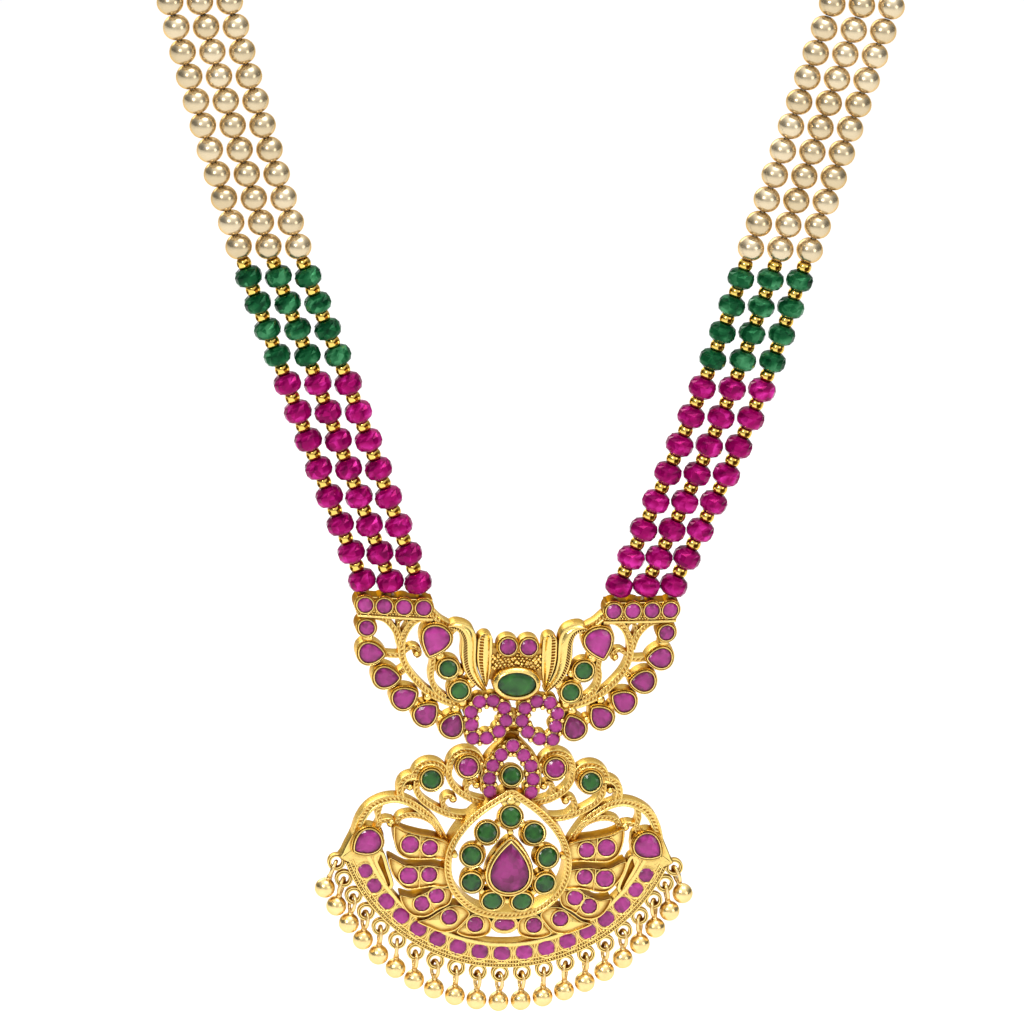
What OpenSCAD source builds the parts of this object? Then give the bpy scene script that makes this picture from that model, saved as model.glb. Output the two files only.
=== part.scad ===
// Three-string long necklace with a pierced crescent and a fan pendant, hanging as worn.
// X points to the right of someone facing it, Z up, and the front looks along -Y.
// The origin is the middle of the nape, where the clasp sits. Sizes are millimetres.

/* [Strings] */
// Diameter of a pearl
pearl_d = 3.9; // [3.7:0.05:3.9]
// Distance from one pearl to the next
pearl_pitch = 4; // [4:0.05:4.2]
// Drilled pearls in view on each half string
pearls_shown = 10; // [6:1:10]
// Diameter of a ruby rondelle
ruby_d = 4; // [3.6:0.1:4.1]
// Length of a ruby rondelle along the thread
ruby_l = 3.4; // [3:0.1:3.5]
// Distance from one ruby rondelle to the next
ruby_pitch = 4.8; // [4.7:0.05:4.9]
// Diameter of an emerald rondelle
emerald_d = 3.9; // [3.6:0.1:4.1]
// Length of an emerald rondelle along the thread
emerald_l = 3.1; // [2.8:0.1:3.2]
// Distance from one emerald rondelle to the next
emerald_pitch = 4.45; // [4.4:0.05:4.5]
// Diameter of the thread
thread_d = 0.5; // [0.4:0.05:0.6]
// Diameter of the holes for the thread
bore_d = 0.95; // [0.9:0.05:1]

/* [Plates] */
// Drop from the nape down to the link between crescent and fan
hang = 190; // [185:1:195]
// Radius that the crescent is bent to, round the wearer
bend_r = 140; // [120:5:200]
// Depth of the crescent's lace from its back to its front
lace_t = 2.8; // [2.4:0.1:3]
// Height of the fan's dome over its band
dome_h = 4; // [3.5:0.1:4.5]
// Free gap round each set stone
stone_gap = 0.1; // [0.1:0.01:0.12]

/* [Fan] */
// Radius of the curve that the band's stones follow
band_r = 24.8; // [24.7:0.1:24.9]
// Stones in the band
band_stones = 17; // [15:2:17]
// Angle from one band stone to the next, at the band's middle
band_step = 8; // [7.9:0.05:8]
// Drops along the fan's lower edge
drop_count = 21; // [17:2:21]
// Angle from one drop to the next, at the fan's middle
drop_step = 6.95; // [6.85:0.05:6.95]
// Diameter of a drop's ball
drop_d = 3; // [2.8:0.05:3.1]

/* [Link] */
// Radius of the bar that the fan hangs from
pin_r = 0.55; // [0.5:0.05:0.6]
// Gap between that bar and the fan's ring
pin_gap = 0.2; // [0.2:0.05:0.25]

/* [Hidden] */
STRANDS = ["inner", "middle", "outer"];
SIDES = ["left", "right"];

function strand_step(strand) = strand == "inner" ? -1 : strand == "outer" ? 1 : 0;

// Route of the right-hand strings from the crescent's bar up to the nape. The columns are
// the middle string's x, y and z, then the step from it to the outer string, then how far
// the strings of both sides lean to the left there.
ROUTE = [
    [18.9, 1.1, -171, 4.2, 0.5, 0, 0],
    [19.9, 1.1, -167, 4.3, 0.5, 0, 0],
    [26.3, 1.1, -151, 4.6, 0.4, 0, 0.1],
    [32.3, 1.2, -135, 4.7, 0.3, 0, 0.5],
    [38.2, 1.3, -118, 4.6, 0.2, 0, 1.5],
    [43.4, 1.4, -101, 4.6, 0.1, 0, 2.1],
    [47.9, 1.7, -86, 4.6, 0, 0, 2.4],
    [51.1, 2.4, -75, 4.6, 0, 0, 2.4],
    [54.3, 6, -64, 4.5, 0, -0.5, 2.3],
    [57.5, 15, -51, 4.3, 0.3, -1, 2],
    [60, 30, -38, 4.1, 0.6, -1.4, 1.5],
    [60, 47, -27, 3.9, 0.9, -2, 1],
    [56, 64, -18, 3.5, 1.4, -2.6, 0.6],
    [48, 80, -11, 2.8, 1.7, -3.2, 0.3],
    [36, 93, -5.5, 1.8, 1.8, -3.8, 0.1],
    [21, 102, -2, 0.7, 1.2, -4.3, 0],
    [6, 105, 0, 0, 0, -4.5, 0]];

// Points of one string as if on the right, and a smooth curve through a list of points
function string_points(side, step) = let (lean = side == "left" ? 1 : -1) [for (row = ROUTE)
    [row[0] + step * row[3] + lean * row[6], row[1] + step * row[4], row[2] + step * row[5]]];
function blend(a, b, c, d, t) = 0.5 * (2 * b + (c - a) * t
    + (2 * a - 5 * b + 4 * c - d) * t * t + (3 * b - a - 3 * c + d) * t * t * t);
function smooth(p, n) = [for (i = [0:len(p) - 2]) for (k = [0:i == len(p) - 2 ? n : n - 1])
    blend(p[max(i - 1, 0)], p[i], p[i + 1], p[min(i + 2, len(p) - 1)], k / n)];
function run_up(p, i = 0, so_far = 0) = i >= len(p) ? []
    : concat([[so_far, i]], run_up(p, i + 1, i + 1 < len(p) ? so_far + norm(p[i + 1] - p[i]) : 0));
function at_length(p, table, s) = let (
    place = lookup(s, table),
    i = min(floor(place), len(p) - 2)) p[i] + (place - i) * (p[i + 1] - p[i]);

CURVES = [for (side = SIDES) for (strand = STRANDS) smooth(string_points(side, strand_step(strand)), 6)];
TABLES = [for (curve = CURVES) run_up(curve)];
function string_index(side, strand) = len(STRANDS) * search([side], SIDES)[0] + search([strand], STRANDS)[0];
function on_string(side, strand, s) = let (i = string_index(side, strand)) at_length(CURVES[i], TABLES[i], s);
function string_end(side, strand) = let (table = TABLES[string_index(side, strand)]) table[len(table) - 1][0];

// Distances along a string, from its end inside the crescent's bar
first_ruby = 3.9;
ruby_count = 8;
emerald_count = 4;
first_emerald = first_ruby + (ruby_count - 1) * ruby_pitch + 4.75;
first_pearl = first_emerald + (emerald_count - 1) * emerald_pitch + 5;
upper_start = first_pearl + (pearls_shown - 0.5) * pearl_pitch;
upper_rings = 13;
thread_rings = 25;
end_gap = 0.1;

// Stones' places as x and z from the link, on the right half, with the turn of a pear's tip
BAR_RUBIES = [[14.7, 19.2], [17.7, 19.2], [20.7, 19.2], [23.6, 19.2], [23.2, 15.6]];
bar_ruby_d = 2.3;
bar_foot = 17.5;
bar_cup_r = 1.5;
side_cup_r = 1.65;
EDGE_PEARS = [[22.3, 11.6, 180], [19.8, 7.9, 180], [16.9, 4.8, 150], [13.5, 2.4, 135], [9.4, 0.75, 115]];
EDGE_PEAR = [3.6, 3.4];
LARGE_PEARS = [[12.7, 14, -72]];
LARGE_PEAR = [4.7, 4.6];
CRESCENT_GREENS = [[10.5, 9.75], [8.6, 6.3]];
crescent_green_d = 2.6;
OVAL_GREEN = [0, 7.9];
OVAL_SIZE = [5.9, 3.8];
TOP_RUBIES = [[1.6, 13.8]];
top_ruby_d = 2.5;
LOOP_PAVE = [[1.6, 3.75], [3.4, 4.85], [5.45, 4.65], [6.7, 2.95], [6.5, 0.9], [6.2, -1.2],
    [4.1, -1.1], [2.2, 0], [1.25, 1.75]];
LOOP_MIDDLE = [3.95, 2.05];

HALO_GREENS = [[3.65, -15.4], [5.9, -19.1], [5.7, -23.4], [2.3, -26.4]];
HALO_TOP = [0, -12.95];
// Short bars that tie the halo's cups to each other, to the frame and to the pear's collar
HALO_TIES = [[1.85, -14.2], [4.8, -17.25], [5.8, -21.25], [4, -24.9], [0, -26.4], [0, -15.4], [3.9, -22.4],
    [8.4, -19.3], [1, -11.1], [1, -10.6]];
tie_r = 0.6;
halo_green_d = 2.9;
CENTRE_PEAR = [0, -20.6];
CENTRE_PEAR_SIZE = [7.7, 6.7];
ARCH_GREEN = [0, -6.9];
arch_green_d = 2.7;
ARCH_PAVE = [[0, -2.2], [1.75, -3.7], [2.95, -5.4], [3.4, -7.5], [3.2, -9.6]];
OUTER_GREENS = [[12.35, -7.8]];
SHOULDER_RUBIES = [[6.75, -5.7]];
round_stone_d = 2.8;
END_RUBIES = [[21.8, -18.1, -35]];
END_RUBY = [4.3, 4.1];
LEAF_RUBIES = [[12.15, -18.55, 2.4], [15.2, -18.1, 2.7], [12.05, -22.85, 2.4], [15.2, -23.05, 2.75],
    [10.75, -26.2, 2.4], [12.95, -27.5, 2.4], [8.6, -29.6, 2.4], [4.55, -30.7, 2.4]];
LEAF_OVAL = [0, -30.6];
LEAF_OVAL_SIZE = [3.2, 2];
band_ruby_d = 2.75;
band_end_ruby_d = 2.45;
BAND_MIDDLE = [0, -10.9];
BAND_REACH = [23, 27.15, 67];
band_squeeze = 2.65;
drop_ring_r = 28.35;
drop_squeeze = 2.1;
squeeze_power = 6;
LOBES = [[7, -6, 2.5], [12.4, -7.9, 2.5]];
DOME_MIDDLE = [0, -20.5];
DOME_REACH = [14.2, 11];

// Levels along y: backs are positive, fronts are negative
crescent_back = 1.2;
crescent_front = crescent_back - lace_t;
cup_rise = 0.6;
oval_rise = 2.2;
top_rise = 1.7;
fan_back = 1.8;
fan_front = -1.4;
seat_rise = 0.5;
arch_rise = 1;
leaf_rise = 1.5;
frame_rise = 2.4;
pear_rise = 0.9;
end_rise = 0.9;
stone_t = 1.2;
stone_rise = 0.15;
eyelet_y = 0.2;
eyelet_t = 1.2;
eyelet_r = 1.4;
eyelet_hole_r = 0.8;

// The link's axis, behind the plates' fronts
PIN = [0, 2, 0.3];
ring_r = 1.35;
ring_w = 2.6;
lug_w = 0.9;
lug_gap = 0.3;

// How far the crescent falls back at x, and how far the dome stands out at x and z
function bend_back(x) = bend_r - sqrt(bend_r * bend_r - x * x);
function bend_turn(x) = asin(x / bend_r);
function dome(x, z) = dome_h * exp(-pow((x - DOME_MIDDLE[0]) / DOME_REACH[0], 2)
    - pow((z - DOME_MIDDLE[1]) / DOME_REACH[1], 2));
function dome_dx(x, z) = -2 * (x - DOME_MIDDLE[0]) / pow(DOME_REACH[0], 2) * dome(x, z);
function dome_dz(x, z) = -2 * (z - DOME_MIDDLE[1]) / pow(DOME_REACH[1], 2) * dome(x, z);

// Outlines of stones: an ellipse, and a pear whose tip points along +X
function oval_points(w, h, n) = [for (i = [0:n - 1]) let (a = 360 * i / n) [w / 2 * cos(a), h / 2 * sin(a)]];
function pear_points(w, h, n, blunt) = [for (i = [0:n - 1]) let (a = 360 * i / n)
    [w / 2 * cos(a), h / 2 * sin(a) * pow(abs(sin(a / 2)), blunt) * (1 + 0.12 * blunt)]];
edge_blunt = 0.6;
pear_blunt = 0.9;
round_n = 8;
pear_n = 12;

// A cut stone with a table, a girdle and a flat back, its table looking along -Y
module cut_stone(points, depth) {
    n = len(points);
    crown = depth * 0.45;
    layers = [[0.72, depth - crown], [1, 0], [0.62, -crown]];
    verts = [for (layer = layers) for (p = points) [p[0] * layer[0], layer[1], p[1] * layer[0]]];
    sides = [for (k = [0:1]) for (i = [0:n - 1])
        [k * n + i, k * n + (i + 1) % n, (k + 1) * n + (i + 1) % n, (k + 1) * n + i]];
    back = [[for (i = [n - 1:-1:0]) i]];
    table = [[for (i = [0:n - 1]) 2 * n + i]];
    translate([0, crown - stone_rise, 0]) polyhedron(verts, concat(sides, back, table), convexity = 2);
}

// Children on the crescent's bent front or the fan's domed front, on both sides or one
module on_crescent(x, z, rise) {
    translate([x, crescent_front + bend_back(x) - rise, z - hang]) rotate([0, 0, bend_turn(x)]) children();
}
module on_fan(x, z, rise) {
    slope_x = dome_dx(x, z);
    slope_z = dome_dz(x, z);
    translate([x, fan_front - dome(x, z) - rise, z - hang])
        rotate([asin(slope_z / norm([slope_x, 1, slope_z])), 0, atan(-slope_x)]) children();
}
module both_sides() {
    children();
    mirror([1, 0, 0]) children();
}

// A flat outline given depth between two levels along y
module slab(back, front) {
    translate([0, back, -hang]) rotate([90, 0, 0]) linear_extrude(back - front) children();
}
// The same between two levels that follow the crescent's bend
module bent_slab(back, front) {
    intersection() {
        slab(back + 4, front - 1) children();
        translate([0, bend_r, -hang - 10]) difference() {
            cylinder(r = bend_r - front, h = 40, $fn = 360);
            translate([0, 0, -1]) cylinder(r = bend_r - back, h = 42, $fn = 360);
        }
    }
}

// A scroll of wire or strip along a curve, w wide at its start and w_end at its end
module vine(points, w, w_end) {
    c = smooth(points, 3);
    last = len(c) - 1;
    turned = [for (i = [0:last]) let (d = c[min(i + 1, last)] - c[max(i - 1, 0)]) [-d[1], d[0]] / norm(d)];
    half = [for (i = [0:last]) (w + (w_end - w) * i / last) / 2];
    polygon(concat([for (i = [0:last]) c[i] + half[i] * turned[i]],
        [for (i = [last:-1:0]) c[i] - half[i] * turned[i]]));
}
module dot(x, z, r) {
    translate([x, z]) circle(r, $fn = 12);
}

// A round cup for a stone, and the pocket that the stone lies in, both facing -Y
module cup(r, depth) {
    rotate([90, 0, 0]) translate([0, 0, -depth]) cylinder(r = r, h = depth, $fn = 32);
}
module pocket(d) {
    depth = stone_t + stone_gap - stone_rise;
    rotate([90, 0, 0]) translate([0, 0, -depth]) cylinder(d = d + 2 * stone_gap, h = depth + 4, $fn = 32);
}

// Crescent: flat outlines of the right half
module crescent_lace() {
    vine([[13.2, 17.3], [14.6, 17.5], [15.8, 17], [16.8, 15.9], [17.5, 14.3], [17.7, 12.8], [17.5, 11.2],
        [16.8, 9.5], [15.6, 7.9], [14, 6.3], [12.4, 5.2], [10.2, 4.2], [7.4, 3.6]], 1.1, 1.1);
    vine([[22.4, 17.3], [20.6, 17], [19.3, 15.9], [18.5, 14.6], [18, 12.9]], 0.9, 0.8);
    vine([[17.5, 11.4], [19, 11.3], [20.8, 11.4]], 0.8, 0.8);
    vine([[16.9, 9.3], [17.9, 8.5]], 1, 1.2);
    vine([[12.9, 11.4], [12.8, 10], [13, 8.6], [12.7, 7.1], [11.8, 5.8], [10.6, 4.9]], 0.9, 0.9);
    vine([[17.5, 11.6], [16.9, 12.3], [16, 12.8], [15.1, 12.5], [14.9, 11.7]], 0.7, 0.7);
    vine([[13.4, 18.4], [12, 17.1], [10.6, 16.3], [9.6, 15.4]], 1.2, 1.2);
    difference() {
        hull() {
            dot(17.65, 16.6, 0.95);
            dot(17.8, 14.4, 0.5);
        }
        hull() {
            dot(17.65, 16.5, 0.4);
            dot(17.75, 15.4, 0.2);
        }
    }
    dot(15.2, 11.7, 0.6);
    dot(22.8, 13.8, 0.8);
    dot(13.4, 4.9, 0.7);
    dot(9, 3.2, 0.8);
    dot(15.2, 3.9, 0.7);
    dot(11.4, 1.7, 0.7);
    dot(8.7, 9.2, 0.8);
    dot(9.5, 8, 0.8);
    dot(6.9, 7.4, 0.9);
    dot(11.7, 11.5, 0.8);
    dot(7.9, 4.3, 0.8);
}
module petal_outer() {
    polygon([[10.9, 16.1], [10.8, 16.6], [9.8, 17.2], [8.4, 17.1], [7.1, 16.4], [6.4, 15], [6.1, 13.3],
        [6.1, 11.5], [5.8, 9.8], [5.2, 8.1], [4.4, 6.5], [5.2, 6.4], [7.1, 8], [8.2, 9.9],
        [8.6, 11.9], [8.6, 13.6], [8.8, 14.9], [9.3, 15.6], [9.9, 15.9]]);
}
module petal_inner() {
    polygon([[5.2, 15.3], [4.5, 15.2], [3.9, 14.4], [3.8, 13], [3.8, 11], [4, 8.8], [4.4, 7],
        [4.7, 7.1], [5.3, 8.3], [5.9, 9.9], [6.2, 11.6], [6.2, 13.5], [5.8, 14.7]]);
}
module loop_ring() {
    difference() {
        union() {
            for (p = LOOP_PAVE) dot(p[0], p[1], 1.2);
            translate(LOOP_MIDDLE) circle(2.4, $fn = 16);
            translate(LOOP_MIDDLE + [0.3, -1.1]) circle(2.6, $fn = 16);
        }
        translate(LOOP_MIDDLE) circle(1.4, $fn = 16);
    }
}
module pear_at(list, size, blunt, grow) {
    for (p = list)
        translate([p[0], p[1]]) rotate(p[2]) offset(delta = grow)
            polygon(pear_points(size[0], size[1], pear_n, blunt));
}

// The crescent as one casting: lace, bar, petals, cups and the two lugs of the link
module crescent_body() {
    bent_slab(crescent_back, crescent_front) offset(delta = 0.02) {
        crescent_lace();
        mirror([1, 0]) crescent_lace();
        translate([-4.3, 8]) square([8.6, 5.4]);
    }
    bent_slab(crescent_back - 0.2, crescent_front - cup_rise) offset(delta = 0.02) {
        for (side = [-1, 1]) scale([side, 1]) {
            petal_outer();
            petal_inner();
            loop_ring();
            dot(1.5, 13.9, 1.8);
            translate([13.1, bar_foot]) square([11.9, 3]);
            for (p = BAR_RUBIES) dot(p[0], p[1], p[1] > bar_foot ? bar_cup_r : side_cup_r);
            pear_at(EDGE_PEARS, EDGE_PEAR, edge_blunt, 0.55);
            pear_at(LARGE_PEARS, LARGE_PEAR, pear_blunt, 0.6);
        }
        translate([-0.8, 0.8]) square([1.6, 3.2]);
    }
    both_sides() for (p = CRESCENT_GREENS) on_crescent(p[0], p[1], cup_rise) cup(1.98, lace_t);
    both_sides() for (p = TOP_RUBIES) on_crescent(p[0], p[1], top_rise) cup(1.72, lace_t);
    slab(0, crescent_front - oval_rise) translate(OVAL_GREEN) offset(delta = 0.02)
        polygon(oval_points(OVAL_SIZE[0] + 1.5, OVAL_SIZE[1] + 1.4, 24));
}
module crescent_plate() {
    color("goldenrod") {
        difference() {
            crescent_body();
            both_sides() {
                for (p = BAR_RUBIES) on_crescent(p[0], p[1], cup_rise) pocket(bar_ruby_d);
                for (p = CRESCENT_GREENS) on_crescent(p[0], p[1], cup_rise) pocket(crescent_green_d);
                for (p = TOP_RUBIES) on_crescent(p[0], p[1], top_rise) pocket(top_ruby_d);
                string_holes();
            }
            bent_slab(crescent_front - cup_rise + stone_t + stone_gap - stone_rise, crescent_front - 3)
                offset(delta = 0.01) for (side = [-1, 1]) scale([side, 1]) {
                    pear_at(EDGE_PEARS, EDGE_PEAR, edge_blunt, stone_gap);
                    pear_at(LARGE_PEARS, LARGE_PEAR, pear_blunt, stone_gap);
                }
            slab(crescent_front - oval_rise + stone_t + stone_gap, crescent_front - oval_rise - 2)
                translate(OVAL_GREEN) offset(delta = stone_gap)
                    polygon(oval_points(OVAL_SIZE[0], OVAL_SIZE[1], 16));
            translate([-ring_w / 2 - 1.8, 0.2, -hang - 3]) cube([ring_w + 3.6, 4, 5.6]);
        }
        both_sides() link_lug();
        link_pin();
    }
}
module string_holes() {
    for (strand = STRANDS)
        aim(on_string("right", strand, 0), on_string("right", strand, 4))
            translate([0, 0, -0.3]) cylinder(d = bore_d, h = 5, $fn = 16);
}
module link_lug() {
    inner = ring_w / 2 + lug_gap;
    translate([inner, PIN[1], PIN[2] - hang]) rotate([0, 90, 0]) cylinder(r = 1.2, h = lug_w, $fn = 32);
    translate([inner, -0.4, PIN[2] - hang - 0.9]) cube([lug_w, PIN[1] + 0.4, 1.8]);
}
module link_pin() {
    reach = ring_w / 2 + lug_gap + lug_w / 2;
    translate([-reach, PIN[1], PIN[2] - hang]) rotate([0, 90, 0])
        cylinder(r = pin_r, h = 2 * reach, $fn = 32);
}

// Children stood on the line from a to b, their Z axis along it
module aim(a, b) {
    d = b - a;
    translate(a) rotate([0, acos(d[2] / norm(d)), atan2(d[1], d[0])]) children();
}

// Fan: flat outlines of the right half
module fan_scrolls() {
    vine([[9.5, -5.6], [9.5, -7.6], [8.7, -9.2], [7.3, -10.4], [5.6, -11.2], [3.4, -11.7]], 1, 1);
    vine([[6, -11], [6.7, -10], [6.6, -8.9], [5.9, -8.4], [5.2, -8.8]], 0.7, 0.7);
    vine([[14.4, -8.4], [14.4, -9.9], [13.5, -11.3], [12, -12.4], [10.2, -13.3], [8.2, -13.9],
        [6.2, -13.9], [4.6, -13]], 1, 1);
    vine([[9.3, -13.4], [10.2, -12.3], [10.1, -11.2], [9.3, -10.7], [8.6, -11.1]], 0.7, 0.7);
    vine([[14, -7.8], [15.3, -7.7], [16.5, -8.3], [17, -9.6], [16.8, -11.2]], 1.1, 1.1);
    vine([[16.4, -11], [16.7, -10.2], [16.2, -9.4], [15.4, -9.3]], 0.6, 0.6);
    vine([[23.6, -18], [22.9, -15], [21.6, -12.9], [19.7, -11.7], [17.6, -11.3], [15.6, -11.8],
        [13.6, -13], [11.8, -14.6], [10.5, -16.4], [9.4, -18.4]], 1.5, 1);
    vine([[19.8, -12], [20.2, -13.6], [19.9, -15], [20.4, -16.2]], 0.8, 0.9);
    vine([[20, -15], [19.2, -14.8], [18.5, -14.7], [17.9, -15.1]], 0.7, 0.7);
    vine([[10.2, -16.8], [11.5, -15.1], [13.2, -14.1], [15.1, -13.8], [16.7, -14.2],
        [17.3, -15.3]], 0.9, 0.9);
    dot(5.2, -8.9, 0.6);
    dot(8.7, -11.2, 0.6);
    dot(15.5, -9.4, 0.55);
    dot(18.1, -15.2, 0.7);
    for (p = LOBES)
        vine([for (a = [-10:20:170]) [p[0], p[1]] + p[2] * [cos(a), sin(a)]], 1.1, 1.1);
    dot(4.6, -6, 0.9);
}
module end_plate() {
    difference() {
        polygon([[19.1, -19.8], [20.5, -20.2], [20.5, -21.4], [19.4, -23.7], [18.3, -25.9], [17.3, -25],
            [18.1, -22.4]]);
        vine([[19.55, -22.3], [19.05, -23.2], [18.45, -24.2]], 0.4, 0.5);
    }
}
module fan_arch() {
    for (p = ARCH_PAVE) dot(p[0], p[1], 1.15);
    vine([[0, -2.2], [1.75, -3.7], [2.95, -5.4], [3.4, -7.5], [3.1, -10.8]], 1.9, 1.9);
}
module fan_leaves() {
    polygon([[9, -18], [11.2, -16.9], [13.5, -16.5], [15.8, -15.9], [18, -14.8], [18, -16.6],
        [17.8, -18.2], [17.2, -19.6], [15.8, -20.6], [13.5, -20.9], [11.3, -20.6], [9, -20.4]]);
    polygon([[9, -22.2], [11.2, -21.4], [13, -21.3], [15.4, -21.5], [18.9, -20.2], [18.3, -22.2],
        [17.2, -24], [15.8, -25.3], [13.6, -25.6], [11.6, -24.9], [9, -24.7]]);
    polygon([[8.4, -25.2], [10.6, -24.8], [12.6, -25.7], [14.4, -26.6], [17, -26.9], [15.9, -28.3],
        [14.2, -29.5], [12.2, -29.6], [10.4, -28.5], [8.6, -27.4]]);
    polygon([[6.6, -27.8], [8.5, -27.7], [10.3, -28.7], [11.9, -29.8], [13.6, -30.4], [11.6, -31.4],
        [9.6, -32.1], [7.7, -31.8], [6.3, -30.5], [5.4, -29]]);
    polygon([[3, -29.2], [5, -29], [6.3, -30.4], [7.4, -31.9], [6, -32.7], [4, -32.8],
        [2.3, -32.1], [2, -30.4]]);
}
module fan_frame() {
    vine([[0, -9.4], [1.6, -10.3], [3.5, -11.6], [5.4, -13.2], [7.2, -15.2], [8.6, -17.5], [9.25, -20],
        [9.15, -22.5], [8.3, -24.8], [6.8, -26.7], [4.8, -28.1], [2.5, -28.8], [0, -29]], 1.1, 1.1);
    for (p = HALO_TIES) dot(p[0], p[1], tie_r);
}
module band_sector(r_in, r_out, reach) {
    steps = 24;
    translate(BAND_MIDDLE) polygon(concat(
        [for (i = [0:steps]) let (a = -90 - reach + 2 * reach * i / steps) r_out * [cos(a), sin(a)]],
        [for (i = [steps:-1:0]) let (a = -90 - reach + 2 * reach * i / steps) r_in * [cos(a), sin(a)]]));
}
function band_place(r, step) = BAND_MIDDLE + r * [sin(step), -cos(step)];
// Turn of piece i of count: equal steps at the middle, a little less towards both ends
function band_turn(i, count, step, squeeze) = let (k = i - (count - 1) / 2, share = 2 * abs(k) / (count - 1))
    k * step - sign(k) * squeeze * pow(share, squeeze_power);
function stone_turn(i) = band_turn(i, band_stones, band_step, band_squeeze);
function drop_turn(i) = band_turn(i, drop_count, drop_step, drop_squeeze);

// The fan as one casting: band, leaves, scrolls, frame, cups, eyelets and the link's ring
module fan_body() {
    slab(fan_back, fan_front) offset(delta = 0.02) {
        band_sector(BAND_REACH[0], BAND_REACH[1], BAND_REACH[2]);
        for (side = [-1, 1]) scale([side, 1]) {
            fan_scrolls();
            end_plate();
            polygon([[19.1, -16.8], [21.5, -15.6], [23.6, -16.2], [24.5, -17.8],
                [25.5, -19.9], [25.6, -21.2], [20.4, -22.6]]);
        }
    }
    slab(fan_back - 0.2, fan_front - arch_rise) offset(delta = 0.02)
        for (side = [-1, 1]) scale([side, 1]) fan_arch();
    slab(fan_back - 0.3, fan_front - leaf_rise) offset(delta = 0.02) {
        for (side = [-1, 1]) scale([side, 1]) fan_leaves();
        translate(LEAF_OVAL) scale([2.2, 1.6]) circle(1, $fn = 16);
    }
    slab(fan_back - 0.4, fan_front - frame_rise) offset(delta = 0.02) {
        for (side = [-1, 1]) scale([side, 1]) fan_frame();
    }
    both_sides() for (p = HALO_GREENS) on_fan(p[0], p[1], seat_rise) cup(2.05, 4.6);
    on_fan(HALO_TOP[0], HALO_TOP[1], seat_rise) cup(2.05, 4.4);
    on_fan(ARCH_GREEN[0], ARCH_GREEN[1], seat_rise) cup(1.95, 3);
    both_sides() for (p = concat(OUTER_GREENS, SHOULDER_RUBIES)) on_fan(p[0], p[1], seat_rise) cup(2.05, 3);
    slab(fan_back - 1, fan_front - dome_h - pear_rise) offset(delta = 0.02) translate(CENTRE_PEAR) rotate(90)
        offset(delta = 0.9) polygon(pear_points(CENTRE_PEAR_SIZE[0], CENTRE_PEAR_SIZE[1], 20, pear_blunt));
    slab(fan_back - 0.5, fan_front - end_rise) offset(delta = 0.02) for (side = [-1, 1]) scale([side, 1])
        pear_at(END_RUBIES, END_RUBY, edge_blunt, 0.6);
}

module fan_pendant() {
    color("goldenrod") difference() {
        union() {
            fan_body();
            for (i = [0:drop_count - 1]) at_eyelet(i) rotate([90, 0, 0])
                cylinder(r = eyelet_r, h = eyelet_t, center = true, $fn = 32);
            translate([-ring_w / 2, PIN[1], PIN[2] - hang]) rotate([0, 90, 0])
                cylinder(r = ring_r, h = ring_w, $fn = 48);
            translate([-ring_w / 2, 0.8, -3.2 - hang]) cube([ring_w, 2, 2.6]);
        }
        for (i = [0:drop_count - 1]) at_eyelet(i) rotate([90, 0, 0])
            cylinder(r = eyelet_hole_r, h = 4, center = true, $fn = 32);
        translate([-ring_w, PIN[1], PIN[2] - hang]) rotate([0, 90, 0])
            cylinder(r = pin_r + pin_gap, h = 2 * ring_w, $fn = 48);
        dome_hollow();
        both_sides() {
            for (p = HALO_GREENS) on_fan(p[0], p[1], seat_rise) pocket(halo_green_d);
            for (p = concat(OUTER_GREENS, SHOULDER_RUBIES))
                on_fan(p[0], p[1], seat_rise) pocket(round_stone_d);
            for (p = LEAF_RUBIES) at_leaf(p) pocket(p[2]);
        }
        on_fan(HALO_TOP[0], HALO_TOP[1], seat_rise) pocket(halo_green_d);
        on_fan(ARCH_GREEN[0], ARCH_GREEN[1], seat_rise) pocket(arch_green_d);
        for (i = [0:band_stones - 1]) at_band(i) pocket(band_size(i));
        pear_pocket();
        end_pockets();
        oval_pocket();
    }
}
module dome_hollow() {
    reach = 10.5;
    depth = 3.8;
    ball_r = (reach * reach + depth * depth) / (2 * depth);
    translate([0, fan_back + ball_r - depth, DOME_MIDDLE[1] - hang]) sphere(r = ball_r, $fn = 96);
}
module pear_pocket() {
    slab(fan_front - dome_h - pear_rise + stone_t + stone_gap, fan_front - dome_h - 3)
        offset(delta = stone_gap) translate(CENTRE_PEAR) rotate(90)
            polygon(pear_points(CENTRE_PEAR_SIZE[0], CENTRE_PEAR_SIZE[1], pear_n, pear_blunt));
}
module end_pockets() {
    slab(fan_front - end_rise + stone_t + stone_gap, fan_front - 4) offset(delta = 0.01)
        for (side = [-1, 1]) scale([side, 1]) pear_at(END_RUBIES, END_RUBY, edge_blunt, stone_gap);
}
module oval_pocket() {
    slab(fan_front - leaf_rise + stone_t + stone_gap, fan_front - 4) offset(delta = stone_gap)
        translate(LEAF_OVAL) polygon(oval_points(LEAF_OVAL_SIZE[0], LEAF_OVAL_SIZE[1], round_n));
}
module at_leaf(p) {
    translate([p[0], fan_front - leaf_rise, p[1] - hang]) children();
}
function band_size(i) = i < 2 || i > band_stones - 3 ? band_end_ruby_d : band_ruby_d;
module at_band(i) {
    p = band_place(band_r, stone_turn(i));
    translate([p[0], fan_front, p[1] - hang]) children();
}
module at_eyelet(i) {
    p = band_place(drop_ring_r, drop_turn(i));
    translate([p[0], eyelet_y, p[1] - hang]) children();
}

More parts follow.
